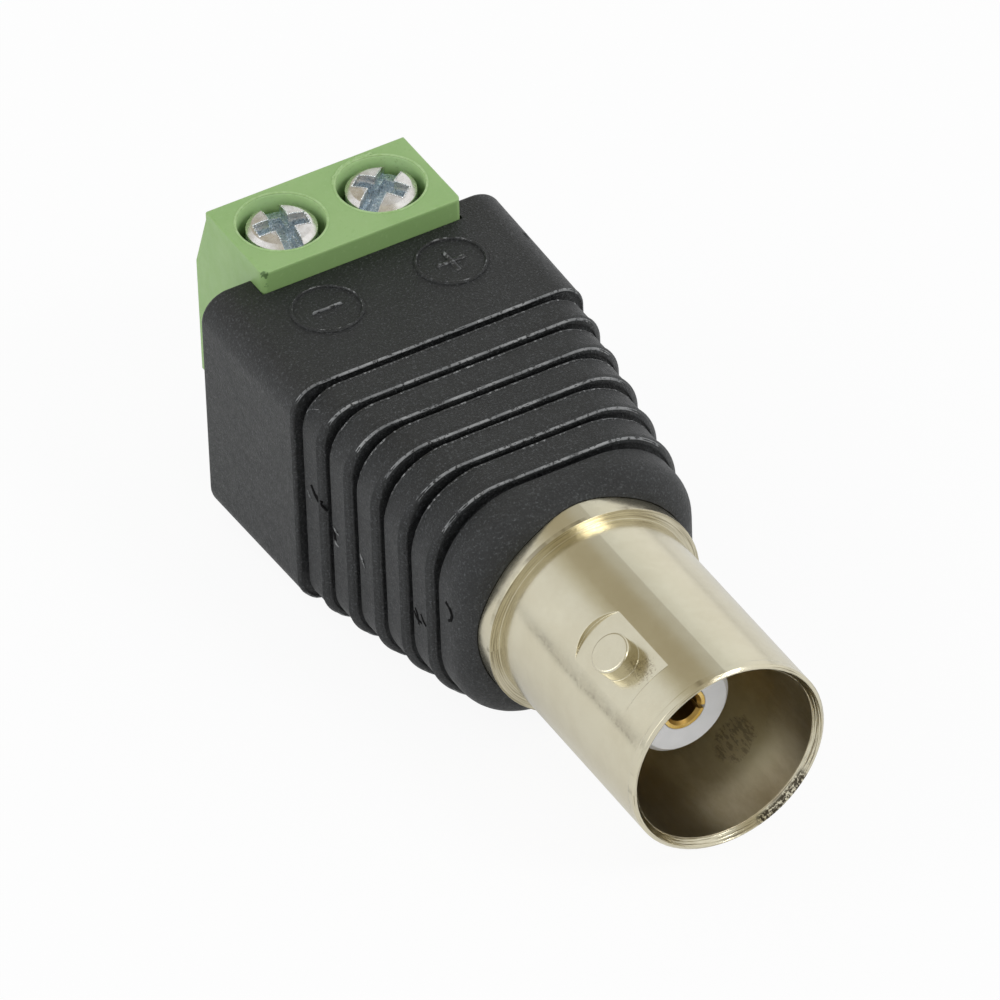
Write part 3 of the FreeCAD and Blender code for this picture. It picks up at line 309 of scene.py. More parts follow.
def green_plastic():
    """Green moulding, with painted light that makes the walls of the screw wells paler and painted shade
    that makes its front face darker.
    """
    s = Shader("green_plastic", (0.295, 0.475, 0.175), 0.42)
    s.rounded(0.06)
    cloud = s.noise(3.0, 3.0, 0.5)
    tone = s.tone(cloud, (0.290, 0.468, 0.172), (0.320, 0.496, 0.194))
    height = s.step(s.z, HOUSING_TOP - 1.34, HOUSING_TOP - 0.34)
    # Painted light: the walls of the screw wells are coloured paler.
    for x in SCREWS.values():
        away = s.length(s.math("SUBTRACT", s.x, x), s.math("SUBTRACT", s.y, SCREW_Y))
        painted_light_wall = s.times(s.step(away, WELL_RADIUS + 0.04, WELL_RADIUS + 0.01), height)
        tone = s.mix(painted_light_wall, tone, (0.50, 0.73, 0.34))
    # Painted shade: the front face below the top is coloured darker.
    below_top = s.step(s.z, HOUSING_TOP - 0.10, HOUSING_TOP - 0.18)
    front = s.times(s.step(s.y, HOUSING_FRONT + 0.035, HOUSING_FRONT - 0.025), below_top)
    tone = s.mix(s.times(front, s.shade(cloud, 0.45, 0.65)), tone, (0.15, 0.27, 0.085))
    grain = s.noise(0.22, 4.0, 0.65)
    tone = s.mix(s.times(s.step(grain, 0.56, 0.72), 0.35), tone, (0.36, 0.54, 0.24))
    tone = s.mix(s.times(s.step(grain, 0.42, 0.30), 0.30), tone, (0.22, 0.39, 0.12))
    spots = (
        ((-4.97, 12.60, 13.22), 0.17, 0.8),
        ((-4.92, 12.52, 12.62), 0.10, 0.35),
    )
    for point, radius, share in spots:
        spot = s.near(point, radius, 0.12, 0.15)
        tone = s.mix(s.times(spot, share), tone, (0.05, 0.11, 0.03))
    s.color(tone)
    s.roughness(s.shade(s.noise(0.7, 3.0), 0.36, 0.5))
    s.bump(s.noise(0.35, 3.0, 0.6), 0.008)
    s.subsurface(0.08, (0.0006, 0.0009, 0.0004))
    return s.material


def pale_green():
    """The thin raised edge of the same moulding, where the light shines through."""
    s = Shader("pale_green", (0.40, 0.58, 0.26), 0.4)
    s.color(s.tone(s.noise(0.3, 4.0, 0.6), (0.32, 0.50, 0.19), (0.43, 0.61, 0.29)))
    s.bump(s.noise(0.15, 3.0), 0.02)
    return s.material


def nickel():
    """Nickel plate: satin and a little soiled outside with a painted dark reflection streaked along one
    side, brown and dull in the bore with painted light on one side and painted shade on the other, scored
    and pitted round the mouth."""
    s = Shader("nickel_shell", (0.66, 0.61, 0.46), 0.2, metallic=1.0)
    s.rounded(0.05)
    up = s.math("SUBTRACT", s.z, AXIS_Z)
    radius = s.length(s.x, up)
    angle = s.times(s.math("ARCTAN2", up, s.x), 180.0 / math.pi)
    back = s.math("SUBTRACT", s.y, MOUTH_Y)
    fine = s.noise(0.14, 4.0, 0.7)
    cloud = s.noise(1.6, 4.0, 0.6)
    tone = s.tone(cloud, (0.655, 0.605, 0.455), (0.690, 0.645, 0.495))

    before_floor = s.step(back, BORE_DEPTH + 0.3, BORE_DEPTH - 0.1)
    inside = s.times(s.step(radius, BORE_EDGE + 0.03, BORE_EDGE - 0.01), before_floor)
    streaked = s.noise(0.5, 5.0, 0.7, scale=(1.0, 0.4, 1.0))
    brown = s.tone(streaked, (0.56, 0.49, 0.33), (0.66, 0.59, 0.43))
    mid_depth = s.times(s.step(back, 0.8, 3.0), s.step(back, 8.5, 4.5))
    # Painted light: a pale zone on one side of the bore, partway in.
    pale = s.times(s.between(angle, -56.0, -34.0, 24.0), mid_depth)
    brown = s.mix(pale, brown, (0.97, 0.90, 0.64))
    # Painted shade: a darker zone on the other side of the bore, deeper in.
    painted_shade_zone = s.times(s.between(angle, -181.0, -92.0, 14.0), s.step(back, 8.0, 5.0))
    brown = s.mix(s.times(painted_shade_zone, 0.75), brown, (0.22, 0.18, 0.11))
    mark = s.near((2.70, MOUTH_Y + 4.2, 2.82), 1.02, 0.18, 0.5)
    scratches = s.step(s.noise(0.12, 3.0, 0.6, scale=(1.0, 0.25, 1.0)), 0.47, 0.58)
    brown = s.mix(s.times(mark, 0.35), brown, (0.40, 0.33, 0.20))
    brown = s.mix(s.times(mark, scratches, 0.45), brown, (0.16, 0.12, 0.07))
    tone = s.mix(inside, tone, brown)

    at_mouth = s.step(back, BORE_EDGE_DEPTH + 0.05, BORE_EDGE_DEPTH - 0.01)
    rim = s.times(s.step(radius, BORE_EDGE - 0.01, BORE_EDGE + 0.01), at_mouth)
    round_axis = s.add("ShaderNodeCombineXYZ")
    s.link(s.times(radius, 22.0), round_axis.inputs[0])
    s.link(s.times(angle, 0.03), round_axis.inputs[1])
    turned = s.noise(1.0, 2.0, 0.6, where=round_axis.outputs[0])
    scored = s.times(rim, s.step(turned, 0.56, 0.66))
    tone = s.mix(s.times(scored, 0.75), tone, (0.20, 0.16, 0.10))
    most_of_rim = s.between(radius, BARREL_RADIUS - 0.355, BARREL_RADIUS - 0.055, 0.04)
    pitted = s.times(s.between(angle, -72.0, -34.0, 3.0), most_of_rim, rim)
    thin_line = s.between(radius, BARREL_RADIUS - 0.225, BARREL_RADIUS - 0.165, 0.02)
    shaded = s.times(s.between(angle, 102.0, 176.0, 6.0), thin_line, rim)
    tone = s.mix(s.times(shaded, s.shade(fine, 0.4, 1.0)), tone, (0.10, 0.08, 0.05))
    tone = s.mix(s.times(pitted, s.step(fine, 0.40, 0.52)), tone, (0.07, 0.06, 0.04))

    # Painted reflection: a dark streak along the outside of the barrel at one angle, with darker specks
    # along its middle.
    drift = s.math("ADD", angle, s.shade(s.noise(1.8, 3.0, 0.6), -1.4, 1.4))
    outer = s.step(radius, BARREL_RADIUS - 0.125, BARREL_RADIUS - 0.025)
    outer = s.times(outer, s.step(back, 0.2, 1.2), s.step(back, 11.0, 9.0))
    patchy = s.shade(s.noise(0.9, 3.0, 0.6), 0.4, 1.0)
    painted_dark_reflection = s.times(s.between(drift, 149.6, 154.0, 2.6), outer, patchy)
    tone = s.mix(s.times(painted_dark_reflection, 0.55), tone, (0.36, 0.33, 0.25))
    speckle = s.step(s.noise(0.16, 5.0, 0.75), 0.46, 0.60)
    painted_reflection_specks = s.times(s.between(drift, 151.2, 153.2, 1.0), outer, speckle)
    tone = s.mix(s.times(painted_reflection_specks, 0.35), tone, (0.22, 0.20, 0.15))
    stain = s.near((-2.52, MOUTH_Y + 3.05, 10.05), 0.60, 0.25, 0.3)
    soiled = s.times(stain, s.step(s.noise(0.08, 4.0, 0.7), 0.47, 0.60))
    tone = s.mix(s.times(soiled, 0.6), tone, (0.24, 0.20, 0.13))
    foot = s.step(radius, BARREL_RADIUS + 0.015, BARREL_RADIUS + 0.075)
    foot = s.times(foot, s.between(back, COLLAR_FRONT - 0.14, COLLAR_FRONT + 0.21, 0.04))
    tone = s.mix(s.times(foot, s.step(turned, 0.46, 0.60), 0.7), tone, (0.26, 0.22, 0.14))
    s.color(tone)

    rough = s.shade(s.noise(0.25, 4.0, 0.65), 0.17, 0.26)
    rough = s.math("ADD", rough, s.times(inside, 0.14))
    rough = s.math("ADD", rough, s.times(rim, -0.04))
    s.roughness(s.math("ADD", rough, s.times(mark, inside, 0.15)))
    s.bump(s.noise(0.12, 3.0, 0.6), 0.0016)
    s.bump(s.times(turned, rim), 0.02)
    return s.material


def insulator():
    """White turned plastic that lets a little light in."""
    s = Shader("white_insulator", (0.84, 0.85, 0.88), 0.4)
    s.color(s.tone(s.noise(0.8, 3.0), (0.82, 0.83, 0.86), (0.86, 0.87, 0.90)))
    s.roughness(s.shade(s.noise(0.5, 3.0), 0.34, 0.46))
    s.bump(s.noise(0.3, 2.0), 0.003)
    s.subsurface(0.2, (0.0008, 0.0008, 0.0008))
    return s.material


def gilding():
    """Gold plate, with a dull brown bore."""
    s = Shader("gold_contact", (0.90, 0.66, 0.22), 0.2, metallic=1.0)
    up = s.math("SUBTRACT", s.z, AXIS_Z)
    gold = s.tone(s.noise(0.6, 3.0), (0.86, 0.60, 0.18), (0.95, 0.72, 0.30))
    hollow = s.step(s.length(s.x, up), SOCKET_EDGE + 0.03, SOCKET_EDGE - 0.01)
    s.color(s.mix(hollow, gold, (0.42, 0.27, 0.08)))
    s.roughness(s.math("ADD", s.shade(s.noise(0.3, 3.0), 0.15, 0.28), s.times(hollow, 0.2)))
    return s.material


def zinc():
    """Bright zinc: warm and whitish on the dome, darker and bluish in the recess, with painted reflection
    whitening its steep walls and painted glints as white flecks.
    """
    s = Shader("zinc_screw", (0.72, 0.70, 0.67), 0.25, metallic=1.0)
    s.rounded(0.04)
    depth = s.step(s.z, SCREW_TOP - 0.30, SCREW_TOP - 0.50)
    facing = s.add("ShaderNodeSeparateXYZ")
    s.link(s.add("ShaderNodeNewGeometry").outputs["True Normal"], facing.inputs[0])
    painted_reflection_steep = s.step(s.math("ABSOLUTE", facing.outputs["Z"]), 0.6, 0.4)
    stain = s.noise(0.35, 4.0, 0.65)
    fine = s.noise(0.09, 3.0, 0.7)
    dome = s.tone(stain, (0.66, 0.63, 0.60), (0.82, 0.80, 0.78))
    deep = s.tone(stain, (0.26, 0.36, 0.44), (0.46, 0.57, 0.66))
    # Painted reflection: the steep walls of the recess are coloured whiter.
    deep = s.mix(s.times(painted_reflection_steep, 0.6), deep, (0.80, 0.86, 0.90))
    # Painted glints: small white flecks in the recess.
    deep = s.mix(s.step(fine, 0.55, 0.63), deep, (0.90, 0.94, 0.97))
    deep = s.mix(s.times(s.step(fine, 0.44, 0.36), 0.8), deep, (0.12, 0.18, 0.24))
    s.color(s.mix(s.times(depth, s.shade(stain, 0.8, 1.0)), dome, deep))
    s.roughness(s.shade(s.noise(0.2, 4.0, 0.6), 0.20, 0.38))
    s.bump(s.noise(0.2, 3.0, 0.6), 0.006)
    s.bump(s.times(s.noise(0.13, 3.0, 0.7), depth), 0.05)
    return s.material


def painted_highlight_zinc():
    """The edges of the recess, coloured bright as a painted highlight."""
    # Painted highlight: a near-white metal colour on the edge beads.
    s = Shader("painted_highlight_zinc", (0.93, 0.95, 0.96), 0.2, metallic=1.0)
    s.color(s.tone(s.noise(0.18, 3.0), (0.72, 0.76, 0.80), (0.97, 0.98, 0.99)))
    s.roughness(s.shade(s.noise(0.1, 3.0), 0.14, 0.3))
    return s.material


def sheet_metal(name, color, low, high):
    s = Shader(name, color, (low + high) / 2, metallic=1.0)
    dark = tuple(c * 0.9 for c in color)
    s.color(s.tone(s.noise(0.7, 4.0), dark, color))
    s.roughness(s.shade(s.noise(0.3, 3.0), low, high))
    s.bump(s.noise(0.2, 3.0), 0.003)
    return s.material


def sleeve_plastic(name, color):
    s = Shader(name, color, 0.35)
    dark = tuple(c * 0.85 for c in color)
    s.color(s.tone(s.noise(0.8, 3.0), dark, color))
    s.roughness(s.shade(s.noise(0.4, 3.0), 0.3, 0.42))
    return s.material


MATERIALS = {
    "black_plastic": black_plastic(),
    "green_plastic": green_plastic(),
    "nickel_shell": nickel(),
    "white_insulator": insulator(),
    "gold_contact": gilding(),
    "zinc_screw": zinc(),
    "plated_cage": sheet_metal("plated_cage", (0.72, 0.70, 0.66), 0.24, 0.36),
    "tinned_copper": sheet_metal("tinned_copper", (0.76, 0.74, 0.69), 0.26, 0.4),
    "red_insulation": sleeve_plastic("red_insulation", (0.5, 0.03, 0.025)),
    "black_insulation": sleeve_plastic("black_insulation", (0.02, 0.02, 0.02)),
    "solder": sheet_metal("solder", (0.66, 0.67, 0.69), 0.2, 0.34),
}
# Pale edge finishes, partly wear and partly painted highlight.
WORN_BLACK_AND_HIGHLIGHT = worn_black_and_highlight("worn_black_and_highlight", 0.75)
SCUFFED_BLACK_AND_HIGHLIGHT = worn_black_and_highlight("scuffed_black_and_highlight", 0.25)
PAINTED_GASH_SHADE_AND_SCUFF = painted_gash_shade_and_scuff()
PALE_GREEN = pale_green()
PAINTED_HIGHLIGHT_ZINC = painted_highlight_zinc()

for part in frame["record"]["subparts"]:
    shown = nodes[part["node"]]
    shown.data.materials.clear()
    shown.data.materials.append(MATERIALS[part["material_slot"]])


# Ridges and beads that follow the edges of the solids

def finished(name, bm, slot, body, material=None):
    """Makes a smooth piece of a bmesh, which rides on a body. It shows its slot's finish, unless another
    one is given."""
    bmesh.ops.recalc_face_normals(bm, faces=bm.faces)
    mesh = bpy.data.meshes.new(name)
    bm.to_mesh(mesh)
    bm.free()
    mesh.materials.append(material or MATERIALS[slot])
    for face in mesh.polygons:
        face.use_smooth = True
    thing = bpy.data.objects.new(name, mesh)
    bpy.context.scene.collection.objects.link(thing)
    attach(thing, body)


def ridge(bm, line, half_width, height, closed=False, ragged=0.0, grain=0.6, foot=0.03, keen=False,
          weights=None, taper=True):
    """Lays a ridge along a line of (point, outward normal) pairs, in millimetres: rounded, or a tent
    where it is keen. Noise of that grain takes up to the ragged share off its height, and it sinks
    under the surface where its weight falls to 0."""
    rows = []
    count = len(line)
    tent = [(-1, 0), (-0.5, 0.5), (-0.12, 0.88), (0, 0.95), (0.12, 0.88), (0.5, 0.5), (1, 0)]
    arc = [(-math.cos(math.pi * k / 6), math.sin(math.pi * k / 6)) for k in range(7)]
    for i, (point, out) in enumerate(line):
        before = line[i - 1][0] if i or closed else point
        after = line[(i + 1) % count][0] if i + 1 < count or closed else point
        side = (after - before).cross(out).normalized()
        roll = 0.5 + 0.5 * noise.noise(point / grain)
        weight = weights[i] if weights else 1.0
        tall = height * weight * (1.0 - ragged * min(1.0, max(0.0, 1.6 * roll - 0.3)))
        if taper and not closed and i in (0, count - 1):
            tall = 0.0
        sink = foot * (1.0 - weight)
        profile = [(a * half_width, b * tall - sink) for a, b in (tent if keen else arc)]
        profile = [(-half_width, -foot - sink), *profile, (half_width, -foot - sink)]
        rows.append([bm.verts.new((point + side * a + out * b) * MM) for a, b in profile])
    for i in range(count if closed else count - 1):
        here, there = rows[i], rows[(i + 1) % count]
        for j in range(len(here) - 1):
            bm.faces.new((here[j], here[j + 1], there[j + 1], there[j]))
    if not closed:
        bm.faces.new(rows[0][::-1])
        bm.faces.new(rows[-1])


def ring(centre, radius, axis, lean=0.0, count=96):
    """A circle about an axis, whose normals lie along the axis or lean outwards from it."""
    across = Vector((1, 0, 0))
    other = axis.cross(across)
    line = []
    for i in range(count):
        t = 2 * math.pi * i / count
        away = across * math.cos(t) + other * math.sin(t)
        line.append((centre + away * radius, axis * math.cos(lean) + away * math.sin(lean)))
    return line


def section_outline(y, half_width, half_height, corner, inset=0.0):
    """The outline of the body across its axis at y, as points with outward normals."""
    corner -= inset
    middles = [(sx * (half_width - inset - corner), AXIS_Z + sz * (half_height - inset - corner))
               for sx, sz in ((1, 1), (-1, 1), (-1, -1), (1, -1))]
    line = []
    for turn in range(4):
        middle = Vector((middles[turn][0], y, middles[turn][1]))
        after = Vector((middles[(turn + 1) % 4][0], y, middles[(turn + 1) % 4][1]))
        arc = max(4, round(corner * math.pi / 2 / SPACING))
        for k in range(arc + 1):
            t = math.pi / 2 * (turn + k / arc)
            out = Vector((math.cos(t), 0, math.sin(t)))
            line.append((middle + out * corner, out))
        runs = max(2, round((after - middle).length / SPACING))
        line += [(middle.lerp(after, k / runs) + out * corner, out) for k in range(1, runs)]
    return line


def edge_line(front, radius, lean, half_width, half_height, corner):
    """The line on a rounded front edge where the surface leans that far towards the mouth."""
    line = section_outline(front + radius * (1 - math.sin(lean)), half_width, half_height, corner,
                           radius * (1 - math.cos(lean)))
    ahead = Vector((0, -math.sin(lean), 0))
    return [(point, (out * math.cos(lean) + ahead).normalized()) for point, out in line]


def rib(index):
    """Half width, half height and corner radius of a rib."""
    return [start + step * (index - 1) for start, step in zip(FIRST_RIB, RIB_STEP)]


def facing_up_or_down(line, low, high):
    """For each point, 0 to 1 as the upright share of its normal runs from low to high."""
    return [min(1.0, max(0.0, (abs(out.z) - low) / (high - low))) for point, out in line]


def make_moulding_edges():
    """The front edges of the block and the ribs, keen along the top and bottom and rounded as the solids
    are at the sides, each with a pale line on it, partly wear and partly painted highlight, and a broken
    line of flash on each rib's back edge, flecked pale the same way."""
    keen, lines, flash = bmesh.new(), bmesh.new(), bmesh.new()
    steps = [(BLOCK_FRONT, BLOCK_ROUND, (BLOCK_HALF_WIDTH, BLOCK_TOP - AXIS_Z, BLOCK_CORNER))]
    steps += [(BLOCK_FRONT - RIB_PITCH * index, RIB_ROUND, rib(index)) for index in range(1, RIB_COUNT + 1)]
    for index, (front, radius, sizes) in enumerate(steps):
        line = edge_line(front, radius, math.pi / 4, *sizes)
        flat = facing_up_or_down(line, 0.20, 0.65)
        ridge(keen, line, radius * 0.72, radius * 0.42 + 0.02, closed=True, foot=0.02, keen=True,
              weights=flat)
        apex = [(point + out * (radius * 0.40 * weight), out)
                for (point, out), weight in zip(line, flat)]
        ridge(lines, apex, 0.065, 0.045, closed=True, ragged=0.8, grain=0.3, foot=0.05, weights=flat)
        if index:
            rear = front + RIB_PITCH - GROOVE_WIDTH
            line = section_outline(rear + 0.01, *sizes)
            weights = [0.25 + 0.75 * share for share in facing_up_or_down(line, 0.30, 0.65)]
            ridge(flash, line, 0.05, 0.05, closed=True, ragged=1.0, grain=0.2, foot=0.05, weights=weights)
    finished("keen_edges", keen, "black_plastic", "adapter")
    # Painted highlight and wear: the pale lines on the front edges and the pale flecks on the flash.
    finished("edge_lines", lines, "black_plastic", "adapter", WORN_BLACK_AND_HIGHLIGHT)
    finished("rear_flash", flash, "black_plastic", "adapter", SCUFFED_BLACK_AND_HIGHLIGHT)


def polarity_mark(name, x, plus):
    """A raised ring with a minus or a plus in it, coloured pale here and there, partly as wear and partly
    as a painted highlight.
    """
    up = Vector((0, 0, 1))
    centre = Vector((x, MARK_Y, BLOCK_TOP))
    bm = bmesh.new()
    ridge(bm, ring(centre, MARK_RADIUS, up), 0.10, 0.11, closed=True, ragged=0.35, grain=0.5)
    finished(f"{name}_ring", bm, "black_plastic", "adapter")
    bm = bmesh.new()
    # Painted highlight and wear: pale bits along the ring.
    rub_and_highlight_line = ring(centre + up * 0.055, MARK_RADIUS - 0.03, up)
    ridge(bm, rub_and_highlight_line, 0.035, 0.065, closed=True, ragged=1.0, grain=0.7, foot=0.0)
    finished(f"{name}_rub", bm, "black_plastic", "adapter", SCUFFED_BLACK_AND_HIGHLIGHT)
    bm = bmesh.new()
    ways = [Vector((1, 0, 0)), Vector((0, 1, 0))] if plus else [Vector((1, 0, 0))]
    # The minus bar is pale as a painted highlight and wear; the plus is flecked pale the same way.
    half_width, ragged, material = (0.13, 0.9, SCUFFED_BLACK_AND_HIGHLIGHT) if plus else (0.06, 0.3, WORN_BLACK_AND_HIGHLIGHT)
    for way in ways:
        line = [(centre + way * (t * 0.075), up) for t in range(-10, 11)]
        ridge(bm, line, half_width, 0.12, ragged=ragged, grain=0.3)
    finished(name, bm, "black_plastic", "adapter", material)


def make_well_rims():
    """The thin raised rims of the screw wells, with a ragged flash behind the plus one."""
    up = Vector((0, 0, 1))
    bm = bmesh.new()
    for x in SCREWS.values():
        centre = Vector((x, SCREW_Y, HOUSING_TOP))
        ridge(bm, ring(centre, WELL_RADIUS + 0.06, up), 0.06, 0.05, closed=True, ragged=0.5, grain=0.6)
    centre = Vector((SCREWS["plus"], SCREW_Y, HOUSING_TOP))
    flash = []
    for k in range(41):
        t = math.radians(70 + 80 * k / 40)
        reach = WELL_RADIUS + 0.14 + 0.12 * noise.noise(Vector((k * 0.35, 0, 0)))
        flash.append((centre + Vector((math.cos(t), math.sin(t), 0)) * reach, up))
    ridge(bm, flash, 0.06, 0.08, ragged=0.6, grain=0.3)
    finished("well_rims", bm, "green_plastic", "adapter", PALE_GREEN)


def make_threads():
    """The thread on each screw's shank."""
    low, high = SHANK_BASE + 0.13, SHANK_TOP - 0.12
    count = round((high - low) / THREAD_PITCH * THREAD_STEPS)
    for name, x in SCREWS.items():
        bm = bmesh.new()
        line = []
        for k in range(count + 1):
            t = 2 * math.pi * k / THREAD_STEPS
            away = Vector((math.cos(t), math.sin(t), 0))
            on_axis = Vector((x, SCREW_Y, low + THREAD_PITCH * k / THREAD_STEPS))
            line.append((on_axis + away * SHANK_RADIUS, away))
        ridge(bm, line, 0.15, 0.035, foot=0.02)
        finished(f"thread_{name}", bm, "zinc_screw", f"screw_{name}")


def make_recess_edges():
    """Beads along the sharp edges of each screw's recess, where it opens in the dome, coloured bright as a
    painted highlight.
    """
    lowest, reach, least_turn = SCREW_TOP - 0.30, 1.35, 0.6
    for name, x in SCREWS.items():
        node = nodes[f"terminal_screw_{name}"]
        bm = bmesh.new()
        bm.from_mesh(node.data)
        bmesh.ops.remove_doubles(bm, verts=bm.verts, dist=1e-6)
        beads = bmesh.new()
        for edge in bm.edges:
            low = min(vertex.co.z for vertex in edge.verts) / MM
            a, b = (vertex.co / MM for vertex in edge.verts)
            away = math.hypot(a.x - x, a.y - SCREW_Y)
            if len(edge.link_faces) != 2 or low < lowest or away > reach:
                continue
            if edge.calc_face_angle_signed() < least_turn:
                continue
            out = (edge.link_faces[0].normal + edge.link_faces[1].normal).normalized()
            line = [(a.lerp(b, share) - 0.02 * out, out) for share in (-0.02, 1.02)]
            ridge(beads, line, 0.035, 0.045, foot=0.0, taper=False)
        bm.free()
        finished(f"recess_edges_{name}", beads, "zinc_screw", f"screw_{name}", PAINTED_HIGHLIGHT_ZINC)


def make_flaws():
    """The black moulding's torn flash with its ragged lips, scuffs and a pit on the left, a scratch on its
    left top edge and a burr on the right one. The dark of the tear and of the pit is painted shade on
    raised strips. Each entry has the outward normal, the half width, the height, the finish and the
    strokes."""
    left = Vector((-1, 0, 0))
    strokes = {
        # Painted shade: dark strips stand for the shadow inside the tear.
        "torn_flash": (left, 0.11, 0.03, PAINTED_GASH_SHADE_AND_SCUFF, [
            [(-7.19, 4.85, 7.62), (-7.20, 4.52, 7.28), (-7.19, 4.22, 7.10), (-7.13, 4.00, 6.95),
             (-7.00, 3.80, 6.75)],
            [(-7.19, 4.40, 7.30), (-7.19, 4.15, 7.18), (-7.12, 3.98, 7.14)],
            [(-6.97, 3.42, 6.20), (-6.98, 3.28, 5.90), (-6.98, 3.20, 5.52)],
        ]),
        "flash_rag": (left, 0.04, 0.07, WORN_BLACK_AND_HIGHLIGHT, [
            [(-6.98, 3.36, 6.20), (-6.98, 3.10, 6.12), (-6.98, 2.85, 6.02)],
            [(-7.19, 5.20, 7.05), (-7.19, 5.00, 6.86), (-7.19, 4.80, 6.78)],
            [(-6.97, 3.30, 5.45), (-6.97, 3.12, 5.36), (-6.97, 2.92, 5.32)],
            [(-6.75, 1.38, 5.98), (-6.76, 1.10, 5.72), (-6.76, 0.95, 5.42)],
        ]),
        "scuffs": (left, 0.065, 0.03, PAINTED_GASH_SHADE_AND_SCUFF, [
            [(-6.31, -2.62, 5.35), (-6.31, -2.90, 5.10), (-6.31, -3.30, 5.12)],
            [(-6.31, -2.75, 5.62), (-6.31, -2.95, 5.36), (-6.31, -3.05, 4.85)],
            [(-6.31, -3.25, 5.62), (-6.31, -3.45, 5.35), (-6.31, -3.70, 5.22)],
        ]),
        # Painted shade: a dark strip stands for the shadow in the pit.
        "pit": (left, 0.11, 0.012, PAINTED_GASH_SHADE_AND_SCUFF, [
            [(-6.09, -5.18, 7.62), (-6.07, -5.50, 7.40), (-6.05, -5.60, 7.10), (-6.06, -5.52, 6.82),
             (-6.08, -5.30, 6.66)],
        ]),
        "scratch": (Vector((-0.75, 0, 0.66)), 0.022, 0.03, WORN_BLACK_AND_HIGHLIGHT, [
            [(-6.80, 5.38, 11.40), (-6.72, 5.20, 11.49), (-6.60, 4.90, 11.63)],
        ]),
        "burrs": (Vector((0.72, 0, 0.69)), 0.10, 0.09, None, [
            [(7.12, 10.75, 11.80), (7.12, 10.50, 11.80), (7.12, 10.30, 11.80), (7.12, 10.10, 11.80)],
        ]),
    }
    for name, (out, half_width, height, material, lines) in strokes.items():
        bm = bmesh.new()
        for points in lines:
            line = [(Vector(point), out) for point in points]
            ridge(bm, line, half_width, height, ragged=0.4, grain=0.25)
        finished(name, bm, "black_plastic", "adapter", material)


def make_mouth_bead():
    """The bright inner edge of the mouth."""
    bm = bmesh.new()
    centre = Vector((0, MOUTH_Y + BORE_EDGE_DEPTH, AXIS_Z))
    line = ring(centre, BORE_EDGE + 0.01, Vector((0, -1, 0)), -0.9, 144)
    ridge(bm, line, 0.035, 0.03, closed=True, ragged=0.5, grain=0.9)
    finished("mouth_bead", bm, "nickel_shell", "adapter")


make_moulding_edges()
polarity_mark("mark_minus", -MARK_X, False)
polarity_mark("mark_plus", MARK_X, True)
make_well_rims()
make_threads()
make_recess_edges()
make_flaws()
make_mouth_bead()

# Floor, light and world

MIRRORED = ("Is Glossy Ray", "Is Transmission Ray")
SEEN = ("Is Camera Ray",)


def seen_by(tree, rays):
    """A factor that is 1 for the named kinds of ray."""
    path = tree.nodes.new("ShaderNodeLightPath")
    factor = path.outputs[rays[0]]
    for kind in rays[1:]:
        either = tree.nodes.new("ShaderNodeMath")
        either.operation = "MAXIMUM"
        tree.links.new(factor, either.inputs[0])
        tree.links.new(path.outputs[kind], either.inputs[1])
        factor = either.outputs[0]
    return factor


def blended(tree, rays, share, first, second):
    """The first shader, with that share of the second mixed over it for the named kinds of ray."""
    part = tree.nodes.new("ShaderNodeMath")
    part.operation = "MULTIPLY"
    part.inputs[1].default_value = share
    mix = tree.nodes.new("ShaderNodeMixShader")
    tree.links.new(seen_by(tree, rays), part.inputs[0])
    tree.links.new(part.outputs[0], mix.inputs[0])
    tree.links.new(first, mix.inputs[1])
    tree.links.new(second, mix.inputs[2])
    return mix.outputs[0]


def make_floor():
    """A white floor just under the part, out of the way of the keen edges that stand below its bottom."""
    bm = bmesh.new()
    bmesh.ops.create_grid(bm, x_segments=2, y_segments=2, size=2.0)
    bmesh.ops.translate(bm, verts=bm.verts, vec=(0, 0, -0.06 * MM))
    mesh = bpy.data.meshes.new("floor")
    bm.to_mesh(mesh)
    bm.free()
    floor = bpy.data.objects.new("floor", mesh)
    bpy.context.scene.collection.objects.link(floor)
    material = bpy.data.materials.new("floor_white")
    material.use_nodes = True
    tree = material.node_tree
    tree.nodes.clear()
    output = tree.nodes.new("ShaderNodeOutputMaterial")
    diffuse = tree.nodes.new("ShaderNodeBsdfDiffuse")
    diffuse.inputs["Color"].default_value = (0.9, 0.9, 0.9, 1)
    white = tree.nodes.new("ShaderNodeEmission")
    white.inputs["Color"].default_value = (1, 1, 1, 1)
    shown = blended(tree, MIRRORED, 0.4, diffuse.outputs[0], white.outputs[0])
    shown = blended(tree, SEEN, 0.92, shown, white.outputs[0])
    tree.links.new(shown, output.inputs["Surface"])
    mesh.materials.append(material)


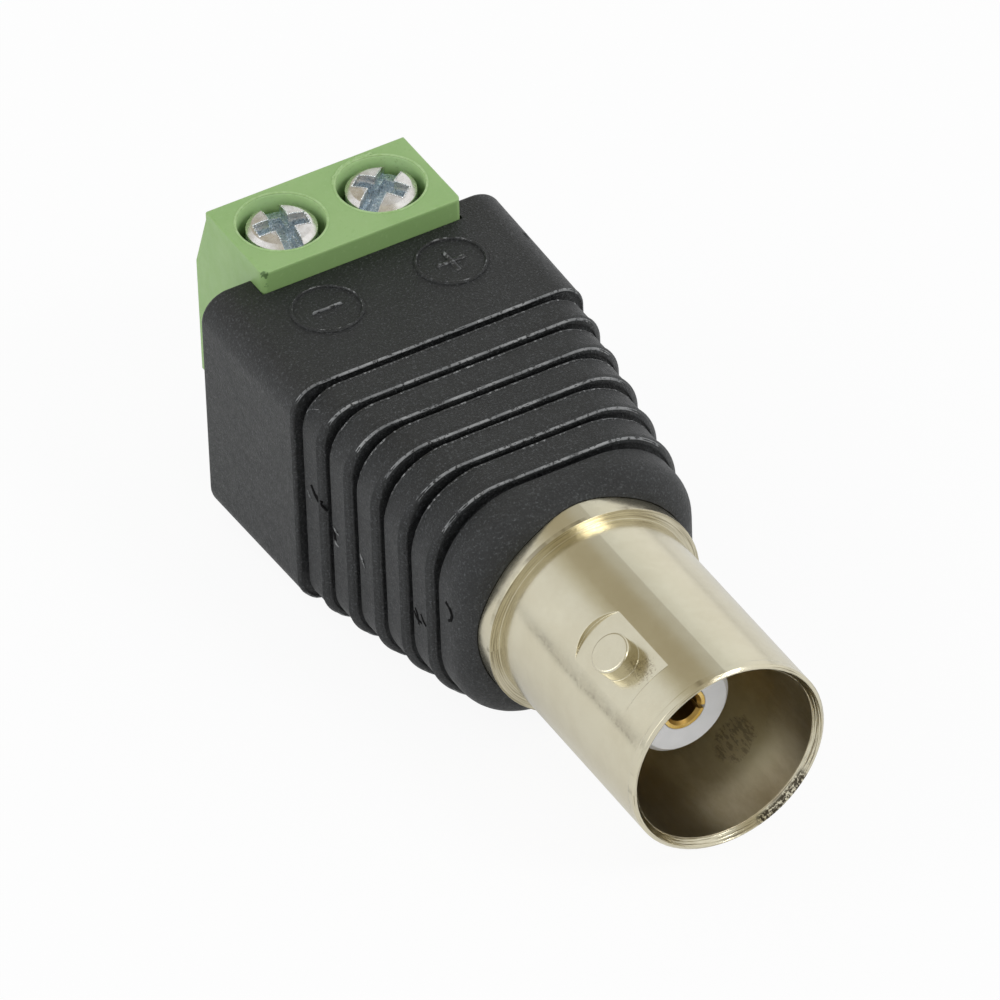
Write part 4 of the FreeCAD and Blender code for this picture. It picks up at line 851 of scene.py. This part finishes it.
def make_world():
    """A soft room: even light on the object and white to the camera. Reflections show white walls on the
    left and right, a warm grey band between them, and a greyer edge all round at the horizon."""
    world = bpy.data.worlds.new("studio")
    bpy.context.scene.world = world
    world.use_nodes = True
    tree = world.node_tree
    tree.nodes.clear()
    output = tree.nodes.new("ShaderNodeOutputWorld")
    where = tree.nodes.new("ShaderNodeTexCoord")
    axes = tree.nodes.new("ShaderNodeSeparateXYZ")
    tree.links.new(where.outputs["Generated"], axes.inputs[0])

    def ramp(axis, stops):
        half = tree.nodes.new("ShaderNodeMath")
        half.operation = "MULTIPLY_ADD"
        half.inputs[1].default_value = 0.5
        half.inputs[2].default_value = 0.5
        tree.links.new(axes.outputs[axis], half.inputs[0])
        node = tree.nodes.new("ShaderNodeValToRGB")
        points = node.color_ramp.elements
        while len(points) < len(stops):
            points.new(0.5)
        for point, (at, shade) in zip(points, stops):
            point.position = at * 0.5 + 0.5
            point.color = (*shade, 1.0)
        tree.links.new(half.outputs[0], node.inputs["Fac"])
        return node.outputs["Color"]

    walls = ramp("X", [
        (-0.42, (0.88, 0.89, 0.91)),
        (-0.26, (0.62, 0.60, 0.51)),
        (-0.12, (0.47, 0.43, 0.33)),
        (0.14, (0.47, 0.43, 0.33)),
        (0.33, (0.64, 0.65, 0.64)),
        (0.50, (0.93, 0.95, 0.96)),
        (0.75, (1.0, 1.0, 1.0)),
    ])
    horizon = ramp("Z", [
        (0.0, (0.55, 0.55, 0.56)),
        (0.03, (0.70, 0.70, 0.70)),
        (0.10, (1.0, 1.0, 1.0)),
    ])
    both = tree.nodes.new("ShaderNodeMix")
    both.data_type = "RGBA"
    both.blend_type = "MULTIPLY"
    both.inputs[0].default_value = 1.0
    tree.links.new(walls, both.inputs[6])
    tree.links.new(horizon, both.inputs[7])

    def background(color, strength):
        node = tree.nodes.new("ShaderNodeBackground")
        node.inputs["Strength"].default_value = strength
        if isinstance(color, tuple):
            node.inputs["Color"].default_value = (*color, 1.0)
        else:
            tree.links.new(color, node.inputs["Color"])
        return node.outputs[0]

    soft = background((0.98, 0.99, 1.0), 0.7)
    mirrored = background(both.outputs[2], 1.0)
    white = background((1.0, 1.0, 1.0), 1.0)
    shown = blended(tree, MIRRORED, 1.0, soft, mirrored)
    shown = blended(tree, SEEN, 1.0, shown, white)
    tree.links.new(shown, output.inputs["Surface"])


def soft_light(name, place, size, power):
    """A square lamp that looks at the origin."""
    data = bpy.data.lights.new(name, "AREA")
    data.shape = "SQUARE"
    data.size = size
    data.energy = power
    light = bpy.data.objects.new(name, data)
    light.location = place
    light.rotation_mode = "QUATERNION"
    light.rotation_quaternion = (-Vector(place)).to_track_quat("-Z", "Y")
    bpy.context.scene.collection.objects.link(light)


bpy.context.scene.view_settings.view_transform = "Standard"
make_camera()
make_floor()
make_world()
soft_light("key", (0.30, -0.50, 0.53), 0.22, 1.2)
soft_light("fill", (-0.60, 0.15, 0.35), 0.4, 0.9)
